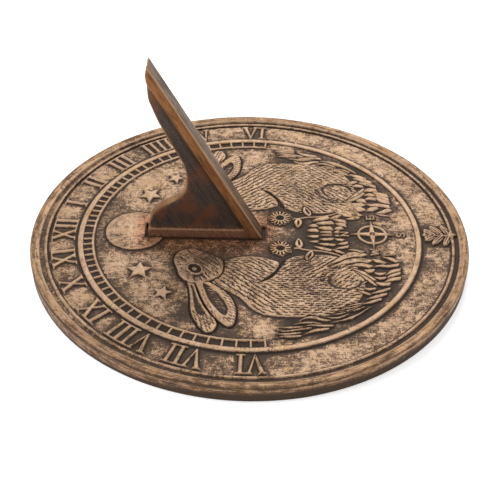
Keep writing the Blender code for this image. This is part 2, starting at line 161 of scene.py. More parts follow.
class Relief:
    """Heights above the dial's floor, on a grid of u and v in millimetres."""

    def __init__(self, u_range, v_range, pitch):
        self.pitch = pitch
        self.u0, self.v0 = u_range[0], v_range[0]
        self.nu = int(round((u_range[1] - u_range[0]) / pitch)) + 1
        self.nv = int(round((v_range[1] - v_range[0]) / pitch)) + 1
        self.height = np.zeros((self.nv, self.nu), np.float32)
        self.ink = np.zeros((self.nv, self.nu), np.float32)

    def window(self, points, margin):
        us = [p[0] for p in points]
        vs = [p[1] for p in points]
        i0 = max(0, int((min(us) - margin - self.u0) / self.pitch))
        i1 = min(self.nu, int((max(us) + margin - self.u0) / self.pitch) + 2)
        j0 = max(0, int((min(vs) - margin - self.v0) / self.pitch))
        j1 = min(self.nv, int((max(vs) + margin - self.v0) / self.pitch) + 2)
        if i0 >= i1 or j0 >= j1:
            return None
        u = (self.u0 + self.pitch * np.arange(i0, i1, dtype=np.float32))[None, :]
        v = (self.v0 + self.pitch * np.arange(j0, j1, dtype=np.float32))[:, None]
        return (slice(j0, j1), slice(i0, i1)), u, v

    def distance(self, outline, u, v):
        """How far inside the outline each point lies; negative outside."""
        nearest = np.full((v.shape[0], u.shape[1]), 1e9, np.float32)
        inside = np.zeros(nearest.shape, bool)
        for (x0, y0), (x1, y1) in zip(outline, outline[1:] + outline[:1]):
            dx, dy = x1 - x0, y1 - y0
            length = dx * dx + dy * dy
            if length < 1e-9:
                continue
            t = np.clip(((u - x0) * dx + (v - y0) * dy) / length, 0, 1)
            nearest = np.minimum(nearest, (u - x0 - t * dx) ** 2 + (v - y0 - t * dy) ** 2)
            if y0 != y1:
                inside ^= ((y0 > v) != (y1 > v)) & (u < x0 + (v - y0) * (dx / dy))
        return np.where(inside, 1, -1) * np.sqrt(nearest)

    def area(self, outline, top, edge=0.5, dome=0, reach=6, how="max"):
        """Raises (or sinks) the inside of an outline, with a sloping edge and an optional domed middle."""
        found = self.window(outline, edge)
        if found is None:
            return
        at, u, v = found
        inside = self.distance(outline, u, v)
        rise = smoothstep(-edge / 2, edge / 2, inside)
        swell = dome * np.sqrt(np.clip(1 - (1 - np.clip(inside / reach, 0, 1)) ** 2, 0, 1))
        here = self.height[at]
        if how == "max":
            self.height[at] = np.maximum(here, rise * (top + swell))
        elif how == "over":
            self.height[at] = here * (1 - rise) + rise * (top + swell)
        else:
            self.height[at] = here - rise * (top + swell)
        if how == "over":
            self.ink[at] *= 1 - rise

    def line(self, points, widths, top, how="max", crown=1, ink=0.85):
        """A ridge or groove along points; widths is one full width or one per point; ink darkens a groove."""
        if isinstance(widths, (int, float)):
            widths = [widths] * len(points)
        found = self.window(points, max(widths) / 2)
        if found is None:
            return
        at, u, v = found
        best = np.full((v.shape[0], u.shape[1]), 9, np.float32)
        for (x0, y0), (x1, y1), w0, w1 in zip(points, points[1:], widths, widths[1:]):
            dx, dy = x1 - x0, y1 - y0
            length = max(dx * dx + dy * dy, 1e-9)
            t = np.clip(((u - x0) * dx + (v - y0) * dy) / length, 0, 1)
            away = np.sqrt((u - x0 - t * dx) ** 2 + (v - y0 - t * dy) ** 2)
            best = np.minimum(best, away / ((w0 + (w1 - w0) * t) / 2 + 1e-6))
        shape = np.sqrt(np.clip(1 - best * best, 0, 1)) ** crown
        here = self.height[at]
        if how == "cut":
            self.height[at] = here - top * shape
            self.ink[at] = np.maximum(self.ink[at], ink * np.clip(shape * top / 0.3, 0, 1))
        else:
            self.height[at] = np.maximum(here, top * shape) if how == "max" else here + top * shape
            self.ink[at] *= 1 - np.clip(2 * top * shape, 0, 0.9)

    def slat(self, points, widths, top, lean, edge=0.4):
        """A flat blade with a slanting root end, higher along one side; it hides what is below."""
        widest = max(widths)
        found = self.window(points, widest / 2 + 1)
        if found is None:
            return
        at, u, v = found
        nearest = np.full((v.shape[0], u.shape[1]), 1e9, np.float32)
        across = np.zeros(nearest.shape, np.float32)
        half = np.full(nearest.shape, 0.01, np.float32)
        for (x0, y0), (x1, y1), w0, w1 in zip(points, points[1:], widths, widths[1:]):
            dx, dy = x1 - x0, y1 - y0
            length = max(hypot(dx, dy), 1e-6)
            t = np.clip(((u - x0) * dx + (v - y0) * dy) / length ** 2, 0, 1)
            past = ((u - x1) * dx + (v - y1) * dy) / length
            away = np.hypot(u - x0 - t * dx, v - y0 - t * dy)
            side = ((u - x0) * dy - (v - y0) * dx) / length
            closer = away < nearest
            nearest = np.where(closer, away, nearest)
            across = np.where(closer, side, across)
            half = np.where(closer, (w0 + (w1 - w0) * t) / 2 + 1e-3, half)
        slanted = np.minimum(half - np.abs(across), -past - 0.6 * across)
        inside = np.where(past > -half, slanted, half - nearest)
        rise = smoothstep(-edge / 2, edge / 2, inside)
        gap = smoothstep(-0.6, -edge / 2, inside)
        slope = top * (1 + lean * np.clip(across / half, -1, 1))
        here = self.height[at] * (1 - gap) + gap * np.minimum(self.height[at], 0.15)
        self.height[at] = here * (1 - rise) + rise * slope
        self.ink[at] = np.maximum(self.ink[at], 0.8 * gap) * (1 - rise)

    def darken(self, outline, low, high, ink=1):
        """Inks the inside of an outline, more and more from low to high millimetres inside it."""
        at, u, v = self.window(outline, 0)
        self.ink[at] = np.maximum(self.ink[at], ink * smoothstep(low, high, self.distance(outline, u, v)))

    def sample(self, values, u, v):
        """Bilinear values at points."""
        x = np.clip((u - self.u0) / self.pitch, 0, self.nu - 1.001)
        y = np.clip((v - self.v0) / self.pitch, 0, self.nv - 1.001)
        i, j = x.astype(int), y.astype(int)
        fx, fy = x - i, y - j
        low = values[j, i] * (1 - fx) + values[j, i + 1] * fx
        high = values[j + 1, i] * (1 - fx) + values[j + 1, i + 1] * fx
        return low * (1 - fy) + high * fy

    def wear_maps(self):
        """Where dark patina stays, in hollows, and where rubbing shows metal, on edges and high spots."""
        near, wide, far = (self.height - blur(self.height, reach / self.pitch / 2)
                           for reach in (0.5, 1.5, 5))
        recess = 0.75 * smoothstep(0.02, 0.42, -wide) + 0.6 * smoothstep(0.03, 0.45, -far)
        recess = np.maximum(recess, self.ink)
        edge = 0.8 * smoothstep(0.015, 0.16, near) + 0.3 * smoothstep(0.1, 0.6, far)
        edge += 0.3 * smoothstep(0.3, 0.8, self.height)
        return np.clip(recess, 0, 1), np.clip(edge, 0, 1)


# ---------------------------------------------------------------- pictures in the dial's field, west side
BODY = ((-24.5, 11), (-22.3, 5), (-21.8, -1), (-22.6, -7), (-24.3, -12), (-26.6, -16.2),
        (-30, -16.2), (-34.5, -14.2), (-38.5, -10.8), (-41.5, -8), (-43.6, -6.4), (-42.6, -8.8),
        (-40.5, -12), (-37, -14.2), (-33, -15.6), (-28.5, -17.8), (-24.5, -20.8), (-21.6, -25),
        (-20.2, -30), (-19.6, -37), (-19.8, -45), (-22, -52), (-27, -58), (-34, -62),
        (-44, -63.5), (-54, -61), (-62, -56), (-68, -48), (-70.8, -38), (-71.6, -28),
        (-71.6, -18), (-70.6, -10), (-68, -4.6), (-64.5, -0.8), (-60.5, 2), (-56.5, 5),
        (-53, 9.6), (-50, 13.6), (-47.6, 17.6), (-44, 20), (-38, 17.4), (-32, 15.6), (-27, 14))
HEAD = ((-16.4, 33.5), (-17.6, 38), (-20.5, 40.8), (-25, 42.1), (-29.5, 41.4), (-34, 39.8),
        (-38.5, 38.6), (-41.8, 36.6), (-44, 34), (-45.6, 30.5), (-45, 26), (-43.6, 22),
        (-41.5, 18.4), (-38.5, 15.6), (-34, 14.4), (-29, 14.3), (-25.4, 15.4), (-22.8, 19),
        (-20.6, 23.4), (-18, 27.5), (-16.6, 30.5))
CHEEK = ((-22.4, 20.6), (-25.6, 16.6), (-30, 15.4), (-35, 15.6), (-39.4, 17.6), (-42.6, 22), (-44, 27),
         (-42, 33.5), (-40.8, 27), (-36, 24.6), (-29.6, 27.6), (-26.4, 29), (-24, 25))
EARS = (((-44.6, 33.6), (-50, 32.3), (-57, 31.4), (-64, 30.9), (-70, 30), (-75.5, 28),
         (-80, 25.6), (-83.4, 22.9), (-84.6, 21), (-83.6, 18.4), (-80.5, 16.6), (-77, 16.4),
         (-72, 19), (-66, 22.8), (-60, 25.4), (-54, 27.4), (-48, 29), (-44, 30)),
        ((-43.5, 29), (-49, 27.8), (-55, 26), (-61, 23.9), (-67, 21), (-72.5, 17.8),
         (-77, 14), (-79.6, 10.9), (-79, 8.2), (-75.5, 6.8), (-70, 6.4), (-64, 7),
         (-58, 9), (-53, 12.2), (-49, 16.2), (-46, 20), (-43.5, 24)))
EAR_ROOT = ((-39, 30.8), (-43.6, 29.8), (-49, 28), (-50, 25.8), (-46, 25.2), (-43, 23.6), (-39, 25))
EAR_HOLLOWS = (((-46.8, 31.5), (-52, 30.6), (-60, 29.3), (-67, 28), (-71, 26), (-70, 22.6),
                (-64, 25.4), (-57, 27.8), (-50, 29.6)),
               ((-46, 25), (-50, 24), (-55, 22.6), (-60, 20.6), (-65, 17.8), (-70.5, 13.8),
                (-70.5, 11.6), (-66, 11), (-60, 12.8), (-55, 16), (-50, 19.6), (-46.6, 22.6)))
TAIL = ((-33.5, -54.5), (-35.6, -48.6), (-39.6, -45.2), (-43.8, -44.4), (-47, -46.8), (-48.2, -51.5),
        (-47.4, -56.5), (-44, -60.3), (-38.4, -60.8), (-34.6, -58.6))
EYE = (-35, 30, 4.9, 3.7, radians(34))  # x, y, half length, half width, turn

# Which way the fur lies: at x, y it runs along this many degrees, turned from south towards east
FUR_LAY = ((-27, 4, -5), (-30, -6, -40), (-36, 8, -25), (-45, 6, -50), (-52, 0, -48), (-58, -6, -42),
           (-63, -10, -28), (-67, -20, -8), (-60, -30, 2), (-66, -40, 10), (-48, -15, -15), (-40, -14, -5),
           (-42, -25, 0), (-33, -22, 20), (-25, -28, 12), (-27, -38, 25), (-35, -36, 30), (-40, -38, 20),
           (-50, -40, 5), (-55, -52, 12), (-62, -50, 18))
HEAD_LAY = ((-22, 36, -10), (-30, 38, -35), (-38, 34, -60), (-30, 20, -52), (-24, 26, -40), (-40, 22, -62))
TAIL_LAY = ((-38, -50, 35), (-44, -52, 40), (-40, -57, 30))

# Leaves and blades of grass: points from tip to root, then the widths at tip, middle and root
BLADES = (
    (((-88, -13), (-86.6, -18), (-86.4, -24), (-85.6, -27.5)), (0.6, 1.3, 1.2)),
    (((-84.9, -14.5), (-84.6, -20), (-83.4, -27.5)), (0.6, 1.3, 0.9)),
    (((-82.4, -15.5), (-82.4, -20), (-81, -27), (-79.6, -33)), (0.6, 1.1, 0.8)),
    (((-79.6, -16), (-79.6, -22), (-79, -28.5)), (0.6, 1.1, 0.7)),
    (((-85.2, -28.5), (-82.2, -33), (-80.8, -38), (-80, -42)), (0.8, 1.7, 1.3)),
    (((-77.7, -22.5), (-76, -28), (-75.6, -33), (-76.4, -38)), (0.5, 1.1, 0.7)),
    (((-78.6, -29), (-77.6, -33), (-77.9, -38), (-77.6, -44.3)), (0.5, 1.2, 1.3)),
    (((-74.9, -26.3), (-72.2, -30), (-71.6, -34.5), (-73.2, -38.5), (-73.8, -43)), (0.6, 2, 0.9)),
    (((-70.4, -37.5), (-71.8, -44), (-70.7, -49), (-68.3, -53)), (0.5, 1.1, 0.6)),
    (((-75.2, -42.5), (-74, -48), (-71.8, -53), (-68.2, -58.5), (-62, -65.5)), (0.7, 1.5, 0.5)),
    (((-67.4, -46), (-66.2, -52), (-63.4, -58)), (0.6, 1.1, 0.6)),
    (((-64.6, -47.5), (-63.6, -54), (-61, -60.5)), (0.6, 1.1, 0.6)),
    (((-69, -43), (-68.4, -48), (-67, -51.5)), (0.5, 0.9, 0.5)),
    (((-66.6, -53.5), (-64.8, -58), (-62.6, -61.6)), (0.5, 1, 0.6)),
    (((-62.4, -52), (-60.8, -57), (-59.6, -62)), (0.5, 1, 0.7)),
    (((-60.6, -60.6), (-58.6, -65.5), (-55.8, -71.4)), (0.6, 1.7, 1.5)),
    (((-56.4, -63), (-54.4, -68.5), (-51.6, -74.6)), (0.6, 2, 1.7)),
    (((-52, -65.5), (-50, -71), (-47.2, -76.8)), (0.6, 1.8, 1.4)),
    (((-49.6, -58.6), (-51.2, -62), (-52.8, -65.6)), (0.7, 1.8, 1.4)),
    (((-47, -61.5), (-48.2, -65), (-47.4, -69)), (0.7, 1.8, 1.2)),
    (((-42, -68.5), (-44, -72.5), (-43.6, -77.2)), (0.9, 2.4, 2.2)),
    (((-42.2, -74), (-39.8, -78), (-38.4, -83.4)), (0.8, 2.4, 2.2)),
    (((-39.6, -74.6), (-36, -79), (-34.2, -83.6)), (0.8, 2.4, 2.4)),
    (((-36.8, -74.8), (-33.2, -79), (-31.4, -83.8)), (0.8, 2.2, 2.2)),
    (((-38.2, -68.6), (-39, -72), (-38.2, -75.4)), (0.7, 2, 1.2)),
    (((-34, -68.4), (-35.2, -72), (-34.4, -75.6)), (0.7, 2, 1.2)),
    (((-30.2, -66.6), (-28.4, -72), (-28.6, -77), (-27.2, -83.4)), (0.8, 1.9, 2.2)),
    (((-31.6, -63.6), (-33, -66), (-32.4, -69.4)), (0.8, 2.4, 2.4)),
    (((-22.6, -67.8), (-24.2, -72), (-25.8, -76.4)), (1, 2.6, 1)),
    (((-20.6, -74.6), (-22, -79), (-24.8, -83.4)), (0.8, 2, 2.6)),
    (((-20.2, -73.6), (-18.8, -78), (-18.2, -82)), (0.5, 0.9, 0.6)),
    (((-28.2, -43.4), (-24.6, -49), (-20.2, -55), (-18.8, -60), (-20.2, -64.2)), (0.8, 3.8, 4.6)),
    (((-30.4, -43.6), (-27.6, -50), (-24.8, -56), (-23.6, -62), (-25.2, -67.4)), (0.8, 3.2, 3.6)),
    (((-30.6, -52), (-28.2, -58), (-27.8, -63), (-29.6, -68)), (0.6, 2.6, 2.6)),
    (((-30.6, -55.4), (-33.8, -61), (-37.6, -65), (-41, -69)), (0.9, 3.2, 1.6)),
    (((-32.6, -57.6), (-37.4, -62.6), (-41.8, -66.6), (-45.4, -69.4)), (0.7, 1.9, 1.1)),
    (((-45.2, -60.6), (-43.2, -62.6), (-42, -64.6)), (0.5, 1.1, 0.7)),
    (((-14.4, -56), (-14.9, -60), (-16.8, -64.2)), (0.7, 1.6, 2.2)),
    (((-12, -36.6), (-13.6, -41), (-15.6, -46.6)), (0.6, 2, 2.2)),
    (((-9.4, -38.2), (-9.8, -43), (-10.6, -48.8)), (0.6, 1.8, 2.1)),
    (((-5.4, -39.4), (-5.2, -43.5), (-5, -48)), (1.3, 2.1, 2.1)),
    (((-1.3, -39.8), (-1.3, -43.5), (-1.3, -47.4)), (0.9, 1.3, 1.2)),
    (((-7.2, -34), (-7.4, -37), (-7.6, -39.4)), (0.9, 1.8, 1.8)),
    (((-2.6, -33), (-2.8, -36), (-2.8, -39.6)), (0.8, 2, 2)),
    (((-13.8, -48.4), (-12.8, -52), (-11.4, -56.4)), (0.6, 1.6, 2.1)),
    (((-9.8, -49.6), (-9, -52.5), (-8, -56.2)), (0.8, 1.8, 2.1)),
    (((-4.6, -48.8), (-5.2, -51), (-5.8, -54)), (0.8, 1.8, 2)),
    (((-1.4, -48.6), (-1.6, -50.4), (-1.8, -52.6)), (0.8, 1.4, 1.4)),
    (((-14.2, -46.8), (-16, -50), (-18.2, -53.8)), (0.6, 2, 1)),
)
FLOWER = (-14.2, -17.5)
STEM = ((-13.8, -24.6), (-13.9, -28), (-15.4, -33), (-16, -40), (-17.8, -46.5), (-20, -51))
LEAVES = (((-13.8, -28.6), (-11.4, -26), (-8.2, -26.2), (-5.2, -27.8), (-8, -30), (-11.4, -30.4)),
          ((-16.2, -35.4), (-19.6, -36.2), (-22.8, -34.6), (-25.2, -32.2), (-22, -31.2), (-18.2, -32.6)))
MOON = (-0.4, 66, 17)
STARS = ((-35.4, 60.6, 7.4, 0.32), (-53.6, 46.4, 5.6, 0.55))
COMPASS_Y = -70.7

# Patches of the whole dial: x, y, reach, and how much more (or less) the bronze is brightened by rubbing
# there; the darker patches on the west rim and the west chapter ring are painted shade on the west side
WEAR_AND_SHADE = (
    (-5, 68, 14, 0.03), (45, 66, 17, 0.3), (61, 50, 9, 0.3), (57, 88, 11, 0.35), (76, -3, 8, 0.3),
    (64, 9, 6, 0.3), (-80, -6, 6, 0.25), (-32, 76, 10, 0.3), (-60, 92, 10, 0.35), (-55, 62, 12, 0.12),
    (30, -95, 12, 0.25), (60, -88, 15, 0.2), (84, -60, 17, 0.25), (98, -30, 12, 0.2), (-15, -86, 7, 0.15),
    (13, -86, 7, 0.12), (-42, -86, 9, 0.2), (0, -21, 5, 0.2), (20, 107, 12, 0.25), (-15, 107, 9, 0.2),
    (95, 45, 18, 0.2), (108, 12, 10, 0.15), (-100, -45, 18, 0.15), (-80, -78, 16, 0.12),
    (-121, -15, 26, -0.08), (-62, 42, 7, 0.08), (-30, 29, 17, -0.24), (-64, 26, 17, -0.15),
    (-101, -5, 10, -0.28), (-103, 28, 11, -0.32), (-92, 58, 10, -0.28), (-50, -34, 11, -0.2),
    (-26, -30, 10, -0.3), (40, -34, 12, -0.15), (-34, 0, 15, -0.22), (20, -72, 9, -0.2),
)
# Patches of bare floor that stayed dark: x, y, reach and strength
DARK_GROUND = (
    (18, -21, 9, 0.9), (-18, -21, 9, 0.9), (0, -38, 15, 0.75), (0, -60, 16, 0.5), (77, -22, 7, 0.5),
    (-76, -24, 7, 0.7), (-68, -63, 13, 0.8), (-83, -40, 10, 0.5), (-48, -80, 9, 0.5), (68, -63, 13, 0.8),
    (83, -40, 10, 0.5), (48, -80, 9, 0.5), (-70, 34, 6, 0.5), (-84, 12, 9, 0.4), (30, -86, 7, 0.2),
    (-14, 84, 9, 0.35), (30, 84, 9, 0.35), (-50, 72, 8, 0.3),
)


def lay_at(lay, x, y):
    """The fur's direction at a point, as a unit vector, from the nearest listed directions."""
    east = north = 0
    for px, py, degrees in lay:
        weight = 1 / ((x - px) ** 2 + (y - py) ** 2 + 4) ** 1.5
        east += weight * sin(radians(degrees))
        north -= weight * cos(radians(degrees))
    size = hypot(east, north)
    return east / size, north / size


def fur(relief, outline, lay, random, along=3.8, across=1.75, depth=0.5, inset=0.9, width=1.1):
    """Short carved strokes in offset rows over an outline."""
    _, u, v = relief.window(outline, 1)
    inside = relief.distance(outline, u, v)
    low_u, low_v = float(u[0, 0]), float(v[0, 0])
    rows = int(relief.pitch * inside.shape[1] / across)
    columns = int(relief.pitch * inside.shape[0] / along)
    for row in range(rows):
        for column in range(columns + 1):
            x = low_u + (row + 0.5) * across + random.normal(0, 0.12 * across)
            y = low_v + (column + (row % 2) / 2) * along + random.normal(0, 0.11 * along)
            i = int((x - low_u) / relief.pitch)
            j = int((y - low_v) / relief.pitch)
            if not (0 <= i < inside.shape[1] and 0 <= j < inside.shape[0]) or inside[j, i] < inset:
                continue
            east, north = lay_at(lay, x, y)
            half = along * random.uniform(0.3, 0.44)
            bend = random.normal(0, 0.18)
            points = [(x - east * half, y - north * half), (x - north * bend, y + east * bend),
                      (x + east * half, y + north * half)]
            wide = width * random.uniform(0.8, 1.2)
            deep = depth * random.uniform(0.6, 1.15)
            relief.line(points, (0.6, wide, 0.5), deep, "cut", 0.7, random.uniform(0.45, 0.8))


def blade(relief, points, widths, random):
    """A flat, pointed blade of grass, leaning to one side."""
    path = smooth_loop(points, 5, closed=False)
    count = len(path) - 1
    middle, root = 1.35 * widths[1], 1.2 * widths[2]
    wide = []
    for i in range(count + 1):
        t = i / count
        wide.append(0.1 + 2 * t * (middle - 0.1) if t < 0.5 else middle + (2 * t - 1) * (root - middle))
    relief.slat(path, wide, random.uniform(0.85, 1.1), 0.3)


def flower(relief, x, y, random):
    """A daisy: petals drawn as raised loops round a sunk, ringed middle."""
    petals = 15
    ground = ellipse(x, y, 7.8, 7.8)
    relief.area(ground, 0.1, 1.2, how="over")
    relief.darken(ground, -0.2, 1.2, 0.9)
    for i in range(petals):
        turn = 2 * pi * i / petals + random.normal(0, 0.03)
        out = 7 * random.uniform(0.95, 1.04)
        east, north = cos(turn), sin(turn)
        middle = ((2.4 + out) / 2 * east + x, (2.4 + out) / 2 * north + y)
        relief.area(ellipse(*middle, (out - 2.2) / 2, 1.3, turn, 18), 1.1, 0.3, how="over")
        hollow = [(x + reach * east, y + reach * north) for reach in (3.5, 5.9)]
        relief.line(hollow, (0.6, 1.25), 0.9, "cut", 0.6, 1)
    relief.area(ellipse(x, y, 3.1, 3.1), 1.05, 0.4, how="over")
    heart = ellipse(x, y, 2.5, 2.5)
    relief.area(heart, 0.35, 0.4, how="over")
    relief.darken(heart, -0.2, 0.3)
    relief.area(ellipse(x, y, 1.2, 1.2), 0.7, 0.4, how="cut")


def leaf(relief, outline):
    """A leaf hollowed along its midrib, with a shadow line round it."""
    loop = smooth_loop(outline, 5)
    relief.line(loop + loop[:1], 2, 0.4, "cut", 1, 0.8)
    relief.area(loop, 1.2, 0.4, how="over")
    base, tip = Vector(outline[0]), Vector(outline[3])
    start, end = base.lerp(tip, 0.25), base.lerp(tip, 0.8)
    relief.line([tuple(start), tuple(start.lerp(end, 0.5)), tuple(end)], (0.8, 1.4, 0.4), 0.8, "cut")


def star(x, y, radius, turn):
    points = []
    for i in range(10):
        reach = radius if i % 2 == 0 else 0.47 * radius
        angle = turn + i * pi / 5
        points.append((x + reach * sin(angle), y + reach * cos(angle)))
    return points


def hare(relief, random):
    """One hare lying along the dial's west side, its nose to the moon and its ears laid back."""
    body = smooth_loop(BODY, 4)
    relief.area(body, 0.55, 0.7, 0.95, 12)
    notch = smooth_loop(((-25.6, -19.4), (-31, -17), (-36, -14.6), (-40.6, -10.4), (-44.6, -5)), 4, False)
    relief.line(notch, [2.4 - 1.8 * i / (len(notch) - 1) for i in range(len(notch))], 0.8, "cut", 0.8, 0.7)
    haunch = smooth_loop(((-30.5, -51), (-33, -46), (-36.5, -41.5), (-42.5, -40)), 5, False)
    relief.line(haunch, 3.2, 0.35, "cut", 1, 0.4)
    fur(relief, body, FUR_LAY, random)
    tail = smooth_loop(TAIL, 4)
    relief.line(tail[6:30], 3.2, 0.6, "cut", 1, 0.6)
    relief.area(tail, 0.7, 0.6, 0.7, 5, "over")
    fur(relief, tail, TAIL_LAY, random, 3.4, 1.7, 0.45, 0.9, 0.95)

    for outline, hollow in zip(EARS, EAR_HOLLOWS):
        ear = smooth_loop(outline, 4)
        relief.line(ear + ear[:1], 2.2, 0.6, "cut", 1, 0.4)
        relief.area(ear, 0.85, 0.55, 0.35, 2.5, "over")
        pit = smooth_loop(hollow, 4)
        relief.area(pit, 1, 1.3, how="cut")
        relief.darken(pit, 0, 1.4, 0.6)
    ear_strokes(relief, random)
    head = smooth_loop(HEAD, 4)
    relief.line(head + head[:1], 2, 0.6, "cut", 1, 0.45)
    relief.area(head, 0.75, 0.6, 0.95, 9, "over")
    relief.area(smooth_loop(EAR_ROOT, 4), 1.15, 1.4, how="over")
    cheek = smooth_loop(CHEEK, 4)
    fur(relief, cheek, HEAD_LAY, random, 3.6, 1.75, 0.36, 0.6, 0.95)
    x, y, long, short, turn = EYE
    relief.area(ellipse(x, y, long + 0.4, short + 0.4, turn), 2.1, 0.4, how="over")
    lid = ellipse(x, y, long, short, turn)
    relief.line(lid + lid[:1], 1.1, 2.5, "max", 0.6)
    ball = ellipse(x, y, long - 0.5, short - 0.5, turn)
    relief.area(ball, 0.95, 0.45, 0.3, 1.6, "over")
    relief.darken(ball, -0.2, 0.3)
    relief.area(ellipse(x + 0.3, y + 0.1, 1.7, 1.3, turn), 1.7, 0.5, how="over")
    relief.line([(-24.4, 38.2), (-25.8, 37)], (1, 0.7), 0.6, "cut")
    mouth = smooth_loop(((-17.4, 34.6), (-20.4, 33.2), (-22.4, 30.4)), 4, False)
    relief.line(mouth, 0.9, 0.4, "cut")
    for place in ((-30.5, 38.6), (-28.4, 39.6), (-33.6, 37.6), (-24.2, 34.8), (-27.4, 35.6), (-21.4, 38.4)):
        relief.line([place, (place[0] - 0.7, place[1] - 0.8)], (0.8, 0.6), 0.4, "cut")


CARVED = ("cut", 0.8, 0.6)  # how, crown and ink of the strokes on the ears


def ear_strokes(relief, random):
    """Strokes on the ears: along both tips, out across the broad lobe, and fanned lines in its hollow."""
    for step in range(6):
        for lane in range(5):
            x = -69.5 - 2.6 * step - 1.3 * (lane % 2) + random.normal(0, 0.2)
            y = 29 - 0.75 * step - 2.1 * lane + random.normal(0, 0.2)
            if y > 17.8 and (step < 5 or lane in (1, 2)):
                relief.line([(x + 0.9, y + 0.5), (x - 0.9, y - 0.5)], (0.5, 0.8), 0.4, *CARVED)
    for step in range(10):
        x = -49 - 3.1 * step
        y = 31.4 - 0.06 * step - 0.25 * max(0, step - 6) + random.normal(0, 0.15)
        relief.line([(x + 0.8, y), (x - 0.8, y - 0.3)], (0.6, 0.4), 0.3, *CARVED)
    for step in range(12):
        t = step / 11
        inner = 16.2 - 5.6 * min(1, 1.6 * t) + 2.6 * max(0, t - 0.75)
        for lane in range(2):
            x = -51 - 25 * t - 1 * lane
            y = inner - 1.2 - 2.3 * lane + random.normal(0, 0.2)
            relief.line([(x + 0.5, y + 0.7), (x - 0.7, y - 0.8)], (0.5, 0.8), 0.4, *CARVED)
    for step in range(9):
        t = step / 8
        x = -48 - 27 * t
        y = 26 - 9.8 * t ** 1.3 + random.normal(0, 0.2)
        relief.line([(x, y), (x - 1.5, y - 0.6)], (0.7, 0.5), 0.34, *CARVED)
    for step in range(8):
        t = step / 7
        x, y = -48.5 - 16 * t, 23.2 - 7.4 * t
        relief.line([(x, y), (x - 0.9, y - 2.4), (x - 3, y - 4.4)], (0.5, 0.7, 0.4), 0.3, "add")


def half_field(seed):
    """The relief of the field's west half; the east half is a mirror twin with its own fine strokes."""
    random = np.random.default_rng(seed)
    relief = Relief((-FIELD_REACH, FIELD_OVERLAP), (-FIELD_REACH, FIELD_REACH), FIELD_PITCH)
    relief.area(ellipse(*MOON[:2], MOON[2], MOON[2], count=60), 0.85, 0.7, 0.2, 5)
    for x, y, radius, turn in STARS:
        relief.area(star(x, y, radius, turn), 0.75, 0.55, 0.35, 2)
    hare(relief, random)
    for points, widths in BLADES:
        blade(relief, points, widths, random)
    for outline in LEAVES:
        leaf(relief, outline)
    stem = smooth_loop(STEM, 5, False)
    relief.line(stem, 1.1, 0.9, "max", 0.7)
    flower(relief, *FLOWER, random)
    return relief


LETTERS = {
    "N": (((-0.9, -1.3), (-0.9, 1.3)), ((-0.9, 1.3), (0.9, -1.3)), ((0.9, -1.3), (0.9, 1.3))),
    "E": (((-0.8, -1.3), (-0.8, 1.3)), ((-0.8, 1.3), (0.9, 1.3)), ((-0.8, 0), (0.6, 0)),
          ((-0.8, -1.3), (0.9, -1.3))),
    "S": (((0.9, 0.9), (0.3, 1.4), (-0.5, 1.3), (-0.9, 0.7), (-0.4, 0.1), (0.4, -0.1), (0.9, -0.7),
           (0.5, -1.3), (-0.3, -1.4), (-0.9, -0.9)),),
    "W": (((-1.5, 1.3), (-0.75, -1.3)), ((-0.75, -1.3), (0, 0.8)), ((0, 0.8), (0.75, -1.3)),
          ((0.75, -1.3), (1.5, 1.3))),
}


def compass(relief):
    """A ring, a four-pointed star over it and the four letters, all tops to the north."""
    ring = [(8 * cos(a), COMPASS_Y + 8 * sin(a)) for a in np.linspace(0, 2 * pi, 49)]
    relief.line(ring, 1.6, 0.9, "max", 0.6)
    for i in range(4):
        turn = i * pi / 2
        away = (sin(turn), cos(turn))
        side = (cos(turn), -sin(turn))
        tip = (13.4 * away[0], COMPASS_Y + 13.4 * away[1])
        left = (2 * side[0], COMPASS_Y + 2 * side[1])
        right = (-2 * side[0], COMPASS_Y - 2 * side[1])
        relief.area([left, tip, right], 1, 0.5, 0.35, 1.2)
    relief.area(ellipse(0, COMPASS_Y, 2.4, 2.4), 1.25, 0.5)
    relief.area(ellipse(0, COMPASS_Y, 1.5, 1.5), 0.6, 0.4, how="cut")
    relief.area(ellipse(0, COMPASS_Y, 0.7, 0.7), 1.2, 0.4)
    places = {"N": (0, -54.8), "E": (16, COMPASS_Y), "S": (0, -87), "W": (-16.2, COMPASS_Y)}
    for letter, (x, y) in places.items():
        strokes = [[(x + 1.65 * u, y + 1.65 * v) for u, v in path] for path in LETTERS[letter]]
        for points in strokes:
            relief.line(points, 2.6, 0.3, "cut", 1, 0.75)
        for points in strokes:
            relief.line(points, 0.95, 1, "max", 0.6)


def hour_angle(quarter, radius):
    """Where the line of a quarter hour after noon meets a circle, in radians clockwise from north."""
    turn = radians(3.75 * quarter)
    line = atan2(sin(LATITUDE) * sin(turn), cos(turn))
    start = Vector((NOON_GAP / 2, HOUR_ORIGIN_Y))
    along = Vector((sin(line), cos(line)))
    middle = start.dot(along)
    reach = -middle + sqrt(middle * middle - start.length_squared + radius * radius)
    point = start + along * reach
    return atan2(point.x, point.y)


